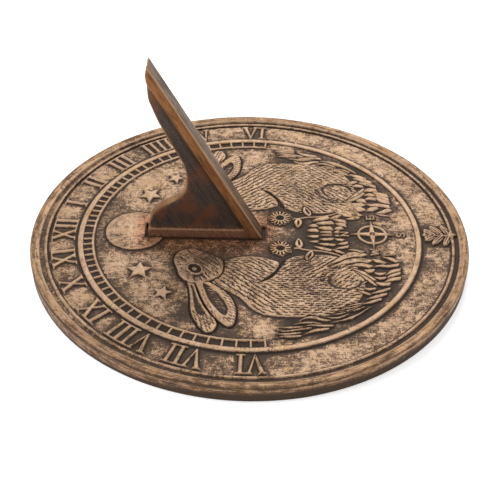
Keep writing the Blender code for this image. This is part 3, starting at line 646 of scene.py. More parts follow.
def ladder_height(x, y):
    """The hour ladder inside the plain band: an inner line and a tick at every quarter hour."""
    inner, outer = LADDER_RADII
    radius = np.hypot(x, y)
    angle = np.arctan2(np.abs(x), y)
    last = hour_angle(LAST_QUARTER, (inner + outer) / 2)
    end = last + TICK_WIDTH / 2 / inner
    live = smoothstep(0.25 / inner, -0.25 / inner, angle - end)
    line = smoothstep(0.75 * LADDER_LINE, 0.3 * LADDER_LINE, np.abs(radius - inner - LADDER_LINE / 2))
    ticks = np.zeros_like(radius)
    for quarter in range(LAST_QUARTER + 1):
        place = hour_angle(quarter, (inner + outer) / 2)
        away = np.abs(angle - place) * radius
        ticks = np.maximum(ticks, smoothstep(0.72 * TICK_WIDTH, 0.28 * TICK_WIDTH, away))
    ticks *= smoothstep(inner + 0.2, inner + 0.7, radius)
    sunk = -0.3 * smoothstep(inner + 0.8, inner + 1.6, radius)
    return live, np.maximum(np.maximum(line, ticks) * LADDER_TOP, sunk)


def field_relief():
    """The whole field on one grid, with its twin halves, compass and ladder."""
    west, east = half_field(WEST_SEED), half_field(EAST_SEED)
    whole = Relief((-FIELD_REACH, FIELD_REACH), (-FIELD_REACH, FIELD_REACH), FIELD_PITCH)
    middle = whole.nu // 2
    for layer in ("height", "ink"):
        left, right, both = getattr(west, layer), getattr(east, layer), getattr(whole, layer)
        both[:, :middle + 1] = left[:, :middle + 1]
        both[:, middle:] = right[:, :middle + 1][:, ::-1]
        reach = left.shape[1] - middle
        both[:, middle:middle + reach] = np.maximum(both[:, middle:middle + reach], left[:, middle:])
        mirror = slice(middle + 1 - reach, middle + 1)
        both[:, mirror] = np.maximum(both[:, mirror], right[:, middle:][:, ::-1])
    compass(whole)
    u = (whole.u0 + whole.pitch * np.arange(whole.nu))[None, :] + np.zeros((whole.nv, 1))
    v = (whole.v0 + whole.pitch * np.arange(whole.nv))[:, None] + np.zeros((1, whole.nu))
    radius = np.hypot(u, v)
    rows = radius > LADDER_RADII[0] - 1.5
    live, ladder = ladder_height(u[rows], v[rows])
    height, past = whole.height[rows], radius[rows] - LADDER_RADII[0]
    keep = smoothstep(-0.2, -1.2, past) * live + (1 - live)
    height = np.where(live > 0, np.maximum(height * keep, ladder * live), height)
    whole.height[rows] = np.where((past > 0.3) & (live > 0.5), ladder, height)
    whole.ink[rows] = np.where(live > 0.5, 0.9 * smoothstep(0.4, 0, ladder) * (past > 0.4), whole.ink[rows])
    whole.height += casting_skin(whole.height.shape, FIELD_SKIN_SEED, 3, 0.05)
    return whole


# ---------------------------------------------------------------- numerals


def glyph_outlines(text):
    """The numeral's strokes and serifs as outlines centred on x = 0, standing on y = 0."""
    top, serif = NUMERAL_HEIGHT, 0.85
    under = top - serif
    letters = {
        "I": (5, [[(-0.95, 0.4), (0.95, 0.4), (0.95, top - 0.4), (-0.95, top - 0.4)],
                    [(-2.6, 0), (2.6, 0), (2.4, serif), (-2.4, serif)],
                    [(-2.4, under), (2.4, under), (2.6, top), (-2.6, top)]]),
        "V": (10.2, [[(-4.3, top - 0.3), (-2, top - 0.3), (0.75, 0.6), (0.4, 0), (-0.4, 0)],
                     [(2.7, top - 0.3), (4.1, top - 0.3), (0.5, 0), (-0.3, 0.4)],
                     [(-5.1, under), (-1.2, under), (-1.1, top), (-5.2, top)],
                     [(1.8, under), (4.9, under), (5, top), (1.7, top)]]),
        "X": (11, [[(-4.6, top - 0.3), (-2.3, top - 0.3), (4.8, 0.3), (2.5, 0.3)],
                     [(3, top - 0.3), (4.2, top - 0.3), (-3, 0.3), (-4.3, 0.3)],
                     [(-5.3, under), (-1.3, under), (-1.2, top), (-5.4, top)],
                     [(2, under), (5, under), (5.1, top), (1.9, top)],
                     [(-5.3, 0), (-1.8, 0), (-1.9, serif), (-5.2, serif)],
                     [(1.4, 0), (5.6, 0), (5.5, serif), (1.5, serif)]]),
    }
    spaced = [letters[letter] for letter in text]
    reached = -sum(width for width, _ in spaced) / 2
    outlines = []
    for width, strokes in spaced:
        outlines += [[(x + reached + width / 2, y) for x, y in stroke] for stroke in strokes]
        reached += width
    return outlines


def chapter_relief():
    """The chapter ring unrolled: u is arc length clockwise from north at mid-numeral, v the radius."""
    half = pi * NUMERAL_MIDDLE
    relief = Relief((-half, half), (BAND_RADII[0] - 1, RIDGE_INNER + 1), RING_PITCH)
    v = relief.v0 + relief.pitch * np.arange(relief.nv)
    band = (BAND_TOP - FLOOR) * smoothstep(BAND_RADII[0] - 0.2, BAND_RADII[0] + 0.5, v)
    band = band * smoothstep(BAND_RADII[1] + 0.2, BAND_RADII[1] - 0.5, v)
    relief.height += band[:, None].astype(np.float32)
    places = [("XII", 0)]
    for hour in range(1, 7):
        angle = hour_angle(4 * hour, NUMERAL_MIDDLE)
        places.append((AFTERNOON[hour - 1], angle))
        places.append((MORNING[hour - 1], -angle))
    for text, angle in places:
        for outline in glyph_outlines(text):
            placed = [(angle * NUMERAL_MIDDLE + x, NUMERAL_BASE + y) for x, y in outline]
            relief.area(placed, NUMERAL_TOP, 0.5)
    sprig(relief, half)
    relief.height += casting_skin(relief.height.shape, RING_SKIN_SEED, 3, 0.035)
    return relief


def sprig(relief, half):
    """A leafy sprig on the chapter ring's south point, drawn across the unrolled map's two ends."""
    for shift in (-half, half):
        relief.line([(shift, 99.6), (shift, 115.6)], (1.2, 1.5), 1.05, "max", 0.6)
        for base, length, spread in ((113.5, 9.6, 66), (109.6, 10.8, 52), (105.4, 8.4, 40)):
            for side in (-1, 1):
                turn = -pi / 2 + side * radians(spread)
                middle = (shift + length / 2 * cos(turn), base + length / 2 * sin(turn) + 1.8)
                leaf_shape = ellipse(*middle, length / 2, 1.9, turn, 22)
                relief.area(leaf_shape, 1.2, 0.5, 0.3, 1.2)
                for lift in (-0.75, 0.75):
                    vein = [(middle[0] + reach * cos(turn) - lift * sin(turn),
                             middle[1] + reach * sin(turn) + lift * cos(turn))
                            for reach in (-0.36 * length, 0.3 * length)]
                    relief.line(vein, (0.7, 0.4), 0.6, "cut")
        for side in (-1, 0, 1):
            berry = (shift + 2.7 * side, 100.7 + 0.9 * abs(side))
            relief.area(ellipse(*berry, 1.25, 1.25), 1.2, 0.4, 0.3, 1.2)


# ---------------------------------------------------------------- meshes


def new_object(name, points, faces):
    mesh = bpy.data.meshes.new(name)
    mesh.from_pydata(points, [], faces)
    thing = bpy.data.objects.new(name, mesh)
    bpy.context.scene.collection.objects.link(thing)
    return thing


def grid_faces(rows, columns, closed):
    """Quads between rows of points; closed joins the last column to the first."""
    i = np.arange(rows - 1)[:, None]
    j = np.arange(columns if closed else columns - 1)[None, :]
    after = (j + 1) % columns
    low, high = i * columns, (i + 1) * columns
    return np.stack([low + j, low + after, high + after, high + j], -1).reshape(-1, 4)


def bake_modifiers(thing):
    depsgraph = bpy.context.evaluated_depsgraph_get()
    mesh = bpy.data.meshes.new_from_object(thing.evaluated_get(depsgraph))
    thing.modifiers.clear()
    thing.data = mesh


def combine(thing, other, operation="DIFFERENCE"):
    """Cuts another object out of a thing, or joins it on, and removes that other object."""
    step = thing.modifiers.new("combine", "BOOLEAN")
    step.operation = operation
    step.solver = "EXACT"
    step.object = other
    bake_modifiers(thing)
    bpy.data.objects.remove(other, do_unlink=True)


def box_cutter(low, high):
    bpy.ops.mesh.primitive_cube_add(size=1)
    cutter = bpy.context.object
    low, high = Vector(low) * MM, Vector(high) * MM
    cutter.location = (low + high) / 2
    cutter.scale = high - low
    bpy.context.view_layer.update()
    return cutter


def cylinder_cutter(x, y, radius, low, high):
    bpy.ops.mesh.primitive_cylinder_add(vertices=48, radius=radius * MM, depth=(high - low) * MM,
                                        location=(x * MM, y * MM, (low + high) / 2 * MM))
    return bpy.context.object


def vertex_array(mesh):
    points = np.empty(len(mesh.vertices) * 3, np.float32)
    mesh.vertices.foreach_get("co", points)
    return points.reshape(-1, 3) / MM


def set_attribute(mesh, key, values):
    layer = mesh.attributes.get(key) or mesh.attributes.new(key, "FLOAT", "POINT")
    layer.data.foreach_set("value", np.ascontiguousarray(values, np.float32))


def finish_mesh(thing, angle=70):
    thing.data.shade_smooth()
    thing.data.set_sharp_from_angle(angle=radians(angle))


def half_disc_points(count, radius, side):
    """Half a square grid bent into half a disc, east (side 1) or west (side -1) of the noon line."""
    across = np.linspace(min(side, 0), max(side, 0), count // 2 + 1)
    a, b = np.meshgrid(across, np.linspace(-1, 1, count + 1))
    wide = np.abs(a) > np.abs(b)
    reach = np.where(wide, a, b)
    with np.errstate(divide="ignore", invalid="ignore"):
        turn = np.where(wide, pi / 4 * b / a, pi / 2 - pi / 4 * a / b)
    turn = np.nan_to_num(turn)
    return radius * reach * np.cos(turn), radius * reach * np.sin(turn)


def close_below(points, faces, edge, base):
    """Adds a wall down from the edge loop to the base height and a flat fan under it."""
    start = len(points)
    ring = points[edge].copy()
    ring[:, 2] = base
    centre = ring.mean(axis=0, keepdims=True)
    points = np.vstack([points, ring, centre])
    count = len(edge)
    after = (np.arange(count) + 1) % count
    wall = np.stack([edge, start + np.arange(count), start + after, edge[after]], -1)
    fan = np.stack([np.full(count, start + count), start + after, start + np.arange(count)], -1)
    return points, faces.tolist() + wall.tolist() + fan.tolist()


def patches_at(patches, x, y):
    """The summed strength of soft round patches at points."""
    total = np.zeros_like(x)
    for east, north, reach, strength in patches:
        total = total + strength * np.exp(-((x - east) ** 2 + (y - north) ** 2) / reach ** 2)
    return total


def pocket_tint(x, y):
    """How strongly the plate is tinted darker and redder round the gnomon's foot."""
    outside = np.hypot(np.maximum(np.abs(x) - POCKET_HALF, 0),
                       2 * np.maximum(np.maximum(POCKET_Y[0] - y, y - POCKET_Y[1]), 0))
    return smoothstep(21, 1, outside)


def make_field(side, relief, recess, edge):
    """Half of the field piece: everything inside the plain band, west or east of noon."""
    cells = 576
    x, y = half_disc_points(cells, BAND_RADII[0], side)
    rows, columns = x.shape
    z = FLOOR + relief.sample(relief.height, x, y)
    points = np.stack([x.ravel(), y.ravel(), z.ravel()], -1)
    faces = grid_faces(rows, columns, False)
    index = np.arange(rows * columns).reshape(rows, columns)
    rim = np.concatenate([index[0, :-1], index[:-1, -1], index[-1, :0:-1], index[:0:-1, 0]])
    points, faces = close_below(points, faces, rim, SOLID_BASE)
    field = new_object("dial_field_east" if side > 0 else "dial_field_west", (points * MM).tolist(), faces)
    thin = field.modifiers.new("thin", "DECIMATE")
    thin.ratio = 0.58
    bake_modifiers(field)
    pocket_low = (-POCKET_HALF, POCKET_Y[0], POCKET_FLOOR)
    combine(field, box_cutter(pocket_low, (POCKET_HALF, POCKET_Y[1], 12)))
    for place in SCREW_Y:
        combine(field, cylinder_cutter(0, place, HOLE_RADIUS, 5, 8))
    at = vertex_array(field.data)
    hollow = relief.sample(recess, at[:, 0], at[:, 1])
    outside = np.maximum(np.abs(at[:, 0]) - POCKET_HALF,
                         np.maximum(POCKET_Y[0] - at[:, 1], at[:, 1] - POCKET_Y[1]))
    # Painted shade: the gnomon's pocket is darkened, and a band round its edge, as shade between gnomon and
    # plate.
    hollow = np.where(outside < 0.05, 0.6, np.maximum(hollow, 0.45 * smoothstep(1.6, 0, outside)))
    bare = smoothstep(0.35, 0.1, relief.sample(relief.height, at[:, 0], at[:, 1]))
    hollow = np.clip(hollow + bare * patches_at(DARK_GROUND, at[:, 0], at[:, 1]), 0, 1)
    set_attribute(field.data, "recess", hollow)
    set_attribute(field.data, "edge", relief.sample(edge, at[:, 0], at[:, 1]) * (outside > 0.3))
    set_attribute(field.data, "foot_tint", pocket_tint(at[:, 0], at[:, 1]))
    set_attribute(field.data, "wear_and_shade", patches_at(WEAR_AND_SHADE, at[:, 0], at[:, 1]))
    finish_mesh(field)
    return field


def chapter_columns():
    """Angles clockwise from south: fine where the numerals and the sprig are, coarser between."""
    fine, coarse = radians(0.21), radians(0.5)
    angles = []
    angle = -pi
    while angle < pi - 1e-6:
        angles.append(angle)
        off = abs(angle)
        busy = off < radians(97) or off > radians(175)
        angle += fine if busy else coarse
    return np.array(angles)


def make_chapter_ring():
    """The chapter piece: the plain band and the numerals' floor."""
    relief = chapter_relief()
    recess, edge = relief.wear_maps()
    inner, outer = BAND_RADII[0], RIDGE_INNER
    edges = [inner, inner + 0.25, inner + 0.5, inner + 0.9]
    radii = np.concatenate([edges, np.linspace(inner + 1.3, BAND_RADII[1] - 0.5, 5),
                            np.arange(BAND_RADII[1] - 0.2, outer, 0.33), [outer]])
    angles = chapter_columns()
    r, a = np.meshgrid(radii, angles, indexing="ij")
    u = a * NUMERAL_MIDDLE
    z = FLOOR + relief.sample(relief.height, u, r)
    points = np.stack([r * np.sin(a), r * np.cos(a), z], -1).reshape(-1, 3)
    rows, columns = len(radii), len(angles)
    low_inner, low_outer = points[:columns].copy(), points[-columns:].copy()
    low_inner[:, 2] = low_outer[:, 2] = SOLID_BASE
    points = np.vstack([low_inner, points, low_outer])
    faces = grid_faces(rows + 2, columns, True)
    j = np.arange(columns)
    after = (j + 1) % columns
    last = (rows + 1) * columns
    under = np.stack([j, last + j, last + after, after], -1)
    faces = np.vstack([faces, under])
    ring = new_object("chapter_ring", (points * MM).tolist(), faces.tolist())
    flat = np.concatenate([u[0], u.ravel(), u[-1]])
    far = np.concatenate([r[0], r.ravel(), r[-1]])
    # Painted shade: dark lines in the crease at the ridge's foot and just outside the band.
    lines = np.maximum(smoothstep(114, 114.9, far), smoothstep(1, 0.3, np.abs(far - BAND_RADII[1] - 0.5)))
    set_attribute(ring.data, "recess", np.clip(relief.sample(recess, flat, far) + 0.6 * lines, 0, 1))
    set_attribute(ring.data, "edge", relief.sample(edge, flat, far))
    turn = flat / NUMERAL_MIDDLE
    set_attribute(ring.data, "wear_and_shade", patches_at(WEAR_AND_SHADE, far * np.sin(turn), far * np.cos(turn)))
    finish_mesh(ring)
    return ring


def make_bud():
    """The sprig's bud, lying over the ridge with its point against the rim."""
    half = ((1.3, -117.4), (2.6, -116.4), (2.4, -114.6), (1.2, -113.8))
    other_half = [(-x, y) for x, y in reversed(half)]
    outline = smooth_loop([(0, -119.7), *half, (0, -113.5), *other_half], 4)
    count, steps = len(outline), 7
    middle = (0, -115.8)
    points = []
    for step in range(steps):
        part = 1 - step / steps
        for i, (x, y) in enumerate(outline):
            petal = 0.12 * cos(6 * pi * i / count) * part
            height = 8.2 + 1.35 * sqrt(1 - part ** 2) ** 0.8 + petal
            points.append((middle[0] + (x - middle[0]) * part, middle[1] + (y - middle[1]) * part, height))
    low = [(x, y, SOLID_BASE + 1) for x, y in outline]
    points = low + points + [(*middle, 9.5), (*middle, SOLID_BASE + 1)]
    rows = steps + 1
    faces = grid_faces(rows, count, True).tolist()
    last = (rows - 1) * count
    for i in range(count):
        after = (i + 1) % count
        faces.append([last + i, last + after, rows * count])
        faces.append([after, i, rows * count + 1])
    bud = new_object("sprig_bud", (np.array(points) * MM).tolist(), faces)
    high = np.array(points)[:, 2]
    set_attribute(bud.data, "recess", smoothstep(8.5, 8.1, high))
    set_attribute(bud.data, "edge", 0.3 * smoothstep(8.6, 9.3, high))
    finish_mesh(bud)
    return bud


def rounded(points, radius, steps=4):
    """Rounds the corners of an open (radius, height) outline."""
    out = [points[0]]
    for before, here, after in zip(points, points[1:], points[2:]):
        b, h, a = Vector(before), Vector(here), Vector(after)
        cut = min(radius, (b - h).length / 2.2, (a - h).length / 2.2)
        start, end = h + (b - h).normalized() * cut, h + (a - h).normalized() * cut
        for i in range(steps + 1):
            t = i / steps
            point = start.lerp(h, t).lerp(h.lerp(end, t), t)
            out.append((point.x, point.y))
    out.append(points[-1])
    return out


def underside(x, y):
    """Heights of the recess under the plate: its ceiling, ribs and the boss round the screws."""
    height = np.full_like(x, RECESS)
    angle = np.arctan2(x, y)
    radius = np.hypot(x, y)
    nearest = (angle / (pi / 4) - 0.5) % 1
    away = np.minimum(nearest, 1 - nearest) * (pi / 4) * radius
    rib = smoothstep(3.2, 1.8, away) * smoothstep(66, 69, radius)
    height -= (RECESS - 1.4) * rib
    south, north = POCKET_Y
    off = np.maximum(np.abs(x) - 10, np.maximum(south + 3 - y, y - north + 3))
    height = np.minimum(height, RECESS - (RECESS - 0.6) * smoothstep(1.2, -0.4, off))
    return height


def make_body():
    """The rim, the groove and the underside: the rest of the plate's casting."""
    top = [(RIDGE_INNER, SOLID_BASE), (RIDGE_INNER, FLOOR - 0.05), (RIDGE_INNER + 0.2, RIDGE - 0.4),
           (RIDGE_INNER + 0.6, RIDGE), (RIDGE_OUTER, RIDGE - 0.1), (GROOVE_RADII[0], GROOVE - 0.4),
           (GROOVE_RADII[1], GROOVE - 0.5), (GROOVE_RADII[2], GROOVE - 0.6), (RIM_FOOT, 9),
           (RIM_FLAT, PLATE_HEIGHT - 0.05), (PLATE_RADIUS - 0.7, PLATE_HEIGHT),
           (PLATE_RADIUS - 0.1, PLATE_HEIGHT - 0.5), (PLATE_RADIUS, PLATE_HEIGHT - 2.6),
           (PLATE_RADIUS - 0.25, PLATE_HEIGHT - 3), (PLATE_RADIUS - 0.2, 0.7), (PLATE_RADIUS - 0.8, 0),
           (FOOT_INNER, 0), (FOOT_INNER - 1.2, RECESS)]
    profile = rounded(top, 0.4)
    extra = []
    for (r0, z0), (r1, z1) in zip(profile, profile[1:]):
        pieces = max(1, int(hypot(r1 - r0, z1 - z0) / 1.1))
        extra += [(r0 + (r1 - r0) * k / pieces, z0 + (z1 - z0) * k / pieces) for k in range(pieces)]
    extra.append(profile[-1])
    columns = 480
    angles = np.linspace(-pi, pi, columns, endpoint=False)
    inner = np.linspace(FOOT_INNER - 2.4, 3, 52)
    rows = [np.full(columns, r) for r, _ in extra] + [np.full(columns, r) for r in inner]
    r = np.array(rows)
    a = np.broadcast_to(angles, r.shape)
    x, y = r * np.sin(a), r * np.cos(a)
    turned = [np.full((1, columns), height) for _, height in extra]
    z = np.vstack(turned + [underside(x[len(extra):], y[len(extra):])])
    wave = casting_skin(r.shape, BODY_SKIN_SEED, 4, 0.05)
    seen = np.array([z0 > 0.2 and r0 > RIDGE_INNER + 0.2 for r0, z0 in extra] + [False] * len(inner))
    z = z - np.abs(wave) * seen[:, None]
    points = np.stack([x, y, z], -1).reshape(-1, 3)
    count = len(points)
    points = np.vstack([points, [[0, 0, 0.6], [0, 0, SOLID_BASE]]])
    faces = grid_faces(len(r), columns, True).tolist()
    last = (len(r) - 1) * columns
    for j in range(columns):
        after = (j + 1) % columns
        faces.append([last + j, last + after, count])
        faces.append([after, j, count + 1])
    body = new_object("plate_body", (points * MM).tolist(), faces)
    for place in SCREW_Y:
        combine(body, cylinder_cutter(0, place, SEAT_RADIUS, -1, SEAT_HEIGHT))
        combine(body, cylinder_cutter(0, place, HOLE_RADIUS, 1, 8))
    at = vertex_array(body.data)
    radius = np.hypot(at[:, 0], at[:, 1])
    high = at[:, 2] > 7
    azimuth = np.arctan2(at[:, 0], at[:, 1])
    # The groove's patina; the recess sum below paints it darker to the south and lighter to the north, as
    # shade.
    groove = smoothstep(RIDGE_OUTER + 0.1, GROOVE_RADII[0], radius) * high
    groove = groove * smoothstep(GROOVE_RADII[2] + 0.4, GROOVE_RADII[2], radius)
    slope = smoothstep(RIM_FOOT - 0.4, RIM_FOOT, radius) * high
    slope = slope * smoothstep(RIM_FLAT + 0.2, RIM_FLAT - 0.4, radius)
    shadow = smoothstep(RIDGE_INNER + 0.3, RIDGE_INNER, radius) * high
    wall = smoothstep(PLATE_HEIGHT - 2.7, PLATE_HEIGHT - 3.3, at[:, 2]) * (radius > FOOT_INNER + 12)
    # Painted shade on the rim's outer top edge, heavier away from the southwest.
    corner_shade = smoothstep(PLATE_RADIUS - 0.5, PLATE_RADIUS - 0.1, radius) * (1 - wall)
    # Painted shade on the side wall: dark below dark_top, which is higher on the south half, and a little
    # darker to the southwest.
    southwest = 0.5 + 0.5 * np.cos(azimuth - radians(-150))
    dark_top = 6.2 - 3.2 * smoothstep(radians(92), radians(52), np.abs(azimuth))
    shaded = 0.06 * southwest + 0.45 * smoothstep(dark_top, dark_top - 2, at[:, 2])
    # Painted shade on the underside, under the plate.
    underside_shade = (at[:, 2] < SEAT_HEIGHT + 0.1) & (radius < FOOT_INNER)
    recess = (0.4 - 0.2 * np.cos(azimuth)) * groove + 0.75 * shadow + shaded * wall + 0.5 * underside_shade
    recess += 0.4 * corner_shade * (1 - southwest) + 0.12 * corner_shade
    # Painted shade deepest at the foot of the side wall, by the floor.
    recess = np.maximum(recess, wall * smoothstep(1.6, 0.6, at[:, 2]))
    set_attribute(body.data, "recess", np.clip(recess, 0, 1))
    rim = smoothstep(RIM_FLAT - 0.6, RIM_FLAT, radius) * (1 - wall) * high
    ridge = smoothstep(RIDGE_INNER + 0.1, RIDGE_INNER + 0.4, radius) * high
    ridge = ridge * smoothstep(RIDGE_OUTER + 0.3, RIDGE_OUTER, radius)
    foot_line = smoothstep(0.5, 0.25, np.abs(radius - RIM_FOOT - 0.2)) * high
    lip = smoothstep(0.8, 0.3, np.hypot(radius - PLATE_RADIUS, at[:, 2] - PLATE_HEIGHT + 2.6))
    set_attribute(body.data, "edge", np.clip(0.1 * rim + 0.3 * ridge + 0.5 * foot_line + 0.4 * lip, 0, 1))
    set_attribute(body.data, "turned", np.clip((rim + slope) * (1 - foot_line) + wall, 0, 1))
    set_attribute(body.data, "wear_and_shade", patches_at(WEAR_AND_SHADE, at[:, 0], at[:, 1]))
    finish_mesh(body, 50)
    return body


# ---------------------------------------------------------------- gnomon
GNOMON_WIDTH = 11.3
WEB_WIDTH = 7.3
STYLE_FOOT = (-7.1, -2)
STYLE_TIP = (54, 108)
NOSE = (55.2, 101.8)
STYLE_RUN = STYLE_TIP[0] - STYLE_FOOT[0]
STYLE_RISE = STYLE_TIP[1] - STYLE_FOOT[1]
STYLE_FLANGE = 5.8
FOOT_FLANGE_TOP = 4
FOOT_NORTH_Y = 58.1
BACK_EDGE = ((54.6, 86.3), (50.2, 73.5), (45.9, 64.4), (41.9, 55.8), (38.4, 48.8), (36.3, 43),
             (35.5, 37.3), (36, 31.5), (37.8, 27.2), (41.2, 23.8), (46, 20.6), (50.8, 17.8),
             (54.6, 14.2), (56.8, 10.2), (57.8, 5.6))


def behind_style(north, above):
    """How far behind the style's top face points lie, square to it; above is their height over the rim."""
    back = (north - STYLE_FOOT[0]) * STYLE_RISE - (above - STYLE_FOOT[1]) * STYLE_RUN
    return back / hypot(STYLE_RUN, STYLE_RISE)


def slab(outline, width):
    """A closed prism across the noon line from (north, height above the rim) points."""
    count = len(outline)
    points = []
    for side in (-width / 2, width / 2):
        points += [(side * MM, y * MM, (PLATE_HEIGHT + h) * MM) for y, h in outline]
    faces = [tuple(range(count)), tuple(range(2 * count - 1, count - 1, -1))]
    faces += [(i, i + count, (i + 1) % count + count, (i + 1) % count) for i in range(count)]
    thing = new_object("slab", points, faces)
    shape = bmesh.new()
    shape.from_mesh(thing.data)
    bmesh.ops.recalc_face_normals(shape, faces=shape.faces)
    shape.to_mesh(thing.data)
    shape.free()
    return thing


def smooth_values(mesh, values, passes):
    """Averages a value per vertex with its neighbours', several times."""
    edges = np.empty(len(mesh.edges) * 2, np.int64)
    mesh.edges.foreach_get("vertices", edges)
    edges = edges.reshape(-1, 2)
    degree = np.bincount(edges.ravel(), minlength=len(mesh.vertices)).astype(np.float32)
    degree = np.maximum(degree, 1)
    for _ in range(passes):
        total = np.zeros_like(values)
        np.add.at(total, edges[:, 0], values[edges[:, 1]])
        np.add.at(total, edges[:, 1], values[edges[:, 0]])
        values = total / (degree[:, None] if values.ndim == 2 else degree)
    return values


def make_gnomon():
    """The web, its style and foot flanges, blended by remeshing and then smoothed like a casting."""
    bottom = POCKET_FLOOR + 0.3 - PLATE_HEIGHT
    slope = STYLE_RUN / STYLE_RISE
    depth = STYLE_FLANGE * hypot(STYLE_RUN, STYLE_RISE) / STYLE_RISE
    heel = (STYLE_FOOT[0] + (bottom - STYLE_FOOT[1]) * slope, bottom)
    back = smooth_loop(BACK_EDGE[1:], 3, False)
    web = [heel, STYLE_TIP, NOSE, BACK_EDGE[0], *back, (FOOT_NORTH_Y, FOOT_FLANGE_TOP - 1.5),
           (FOOT_NORTH_Y, bottom)]
    start = (heel[0] + depth, bottom)
    edge = BACK_EDGE[0][0] + 0.15
    flange = [heel, STYLE_TIP, NOSE, (edge, bottom + (edge - start[0]) / slope), start]
    inner = heel[0] + (FOOT_FLANGE_TOP - bottom) * slope + 1
    foot = [(inner, bottom), (FOOT_NORTH_Y, bottom), (FOOT_NORTH_Y, FOOT_FLANGE_TOP - 0.5),
            (FOOT_NORTH_Y - 0.5, FOOT_FLANGE_TOP), (inner, FOOT_FLANGE_TOP)]
    gnomon = slab(web, WEB_WIDTH)
    gnomon.name = "gnomon_casting"
    for outline in (flange, foot):
        combine(gnomon, slab(outline, GNOMON_WIDTH), "UNION")
    remesh = gnomon.modifiers.new("remesh", "REMESH")
    remesh.mode = "VOXEL"
    remesh.voxel_size = 0.42 * MM
    bake_modifiers(gnomon)
    mesh = gnomon.data
    sharp = vertex_array(mesh)
    soft = smooth_values(mesh, sharp, 4)
    keep = smoothstep(7.5, 9, sharp[:, 2])[:, None]
    points = sharp + (soft - sharp) * (0.35 + 0.65 * keep)
    round_off = smooth_values(mesh, sharp, 30)
    behind = behind_style(sharp[:, 1], sharp[:, 2] - PLATE_HEIGHT)
    casting = smoothstep(STYLE_FLANGE - 0.6, STYLE_FLANGE + 0.6, behind)
    casting = casting * smoothstep(FOOT_FLANGE_TOP - 0.4, FOOT_FLANGE_TOP + 0.8, sharp[:, 2] - PLATE_HEIGHT)
    points = points + (round_off - points) * casting[:, None]
    wide = smooth_values(mesh, points, 14)
    mesh.vertices.foreach_set("co", (points * MM).astype(np.float32).ravel())
    mesh.update()
    normals = np.empty(len(mesh.vertices) * 3, np.float32)
    mesh.vertices.foreach_get("normal", normals)
    bulge = ((points - wide) * normals.reshape(-1, 3)).sum(1)
    x, y, z = points.T
    above = z - PLATE_HEIGHT
    behind = behind_style(y, above)
    panel = smoothstep(STYLE_FLANGE - 0.5, STYLE_FLANGE + 1.5, behind)
    panel = panel * smoothstep(FOOT_FLANGE_TOP - 0.3, FOOT_FLANGE_TOP + 1.5, above)
    flat = smoothstep(WEB_WIDTH / 2 - 0.9, WEB_WIDTH / 2 - 0.25, np.abs(x))
    base = smoothstep(9.4, 8, z)
    front = smoothstep(0.8, 0.4, behind)
    # Recess here is painted shade: a dark line in concave creases, such as the flange's foot, and darkness
    # where the gnomon stands in the plate.
    set_attribute(mesh, "recess", np.clip(0.9 * smoothstep(0.02, 0.16, -bulge) + 0.8 * base, 0, 1))
    set_attribute(mesh, "edge", smoothstep(0.1, 0.3, bulge) * (1 - base) * (0.3 + 0.7 * front) * (1 - panel))
    set_attribute(mesh, "panel", panel * flat)
    # The rounded edges round the panels: gold, with a painted highlight.
    set_attribute(mesh, "gold_and_highlight", panel * (1 - flat))
    middle = smoothstep(GNOMON_WIDTH / 2, 4.9, np.abs(x))
    # The style's top face, for its own mottled colour, darkened as painted shade.
    set_attribute(mesh, "style_top", smoothstep(0.45, 0.2, behind) * middle)
    set_attribute(mesh, "foot", smoothstep(FOOT_FLANGE_TOP + 0.6, FOOT_FLANGE_TOP - 0.6, above)
                  * smoothstep(STYLE_FLANGE - 2, STYLE_FLANGE + 2, behind))
    for place in SCREW_Y:
        combine(gnomon, cylinder_cutter(0, place, HOLE_RADIUS, 5, 14.6))
    finish_mesh(gnomon, 60)
    return gnomon


# ---------------------------------------------------------------- materials


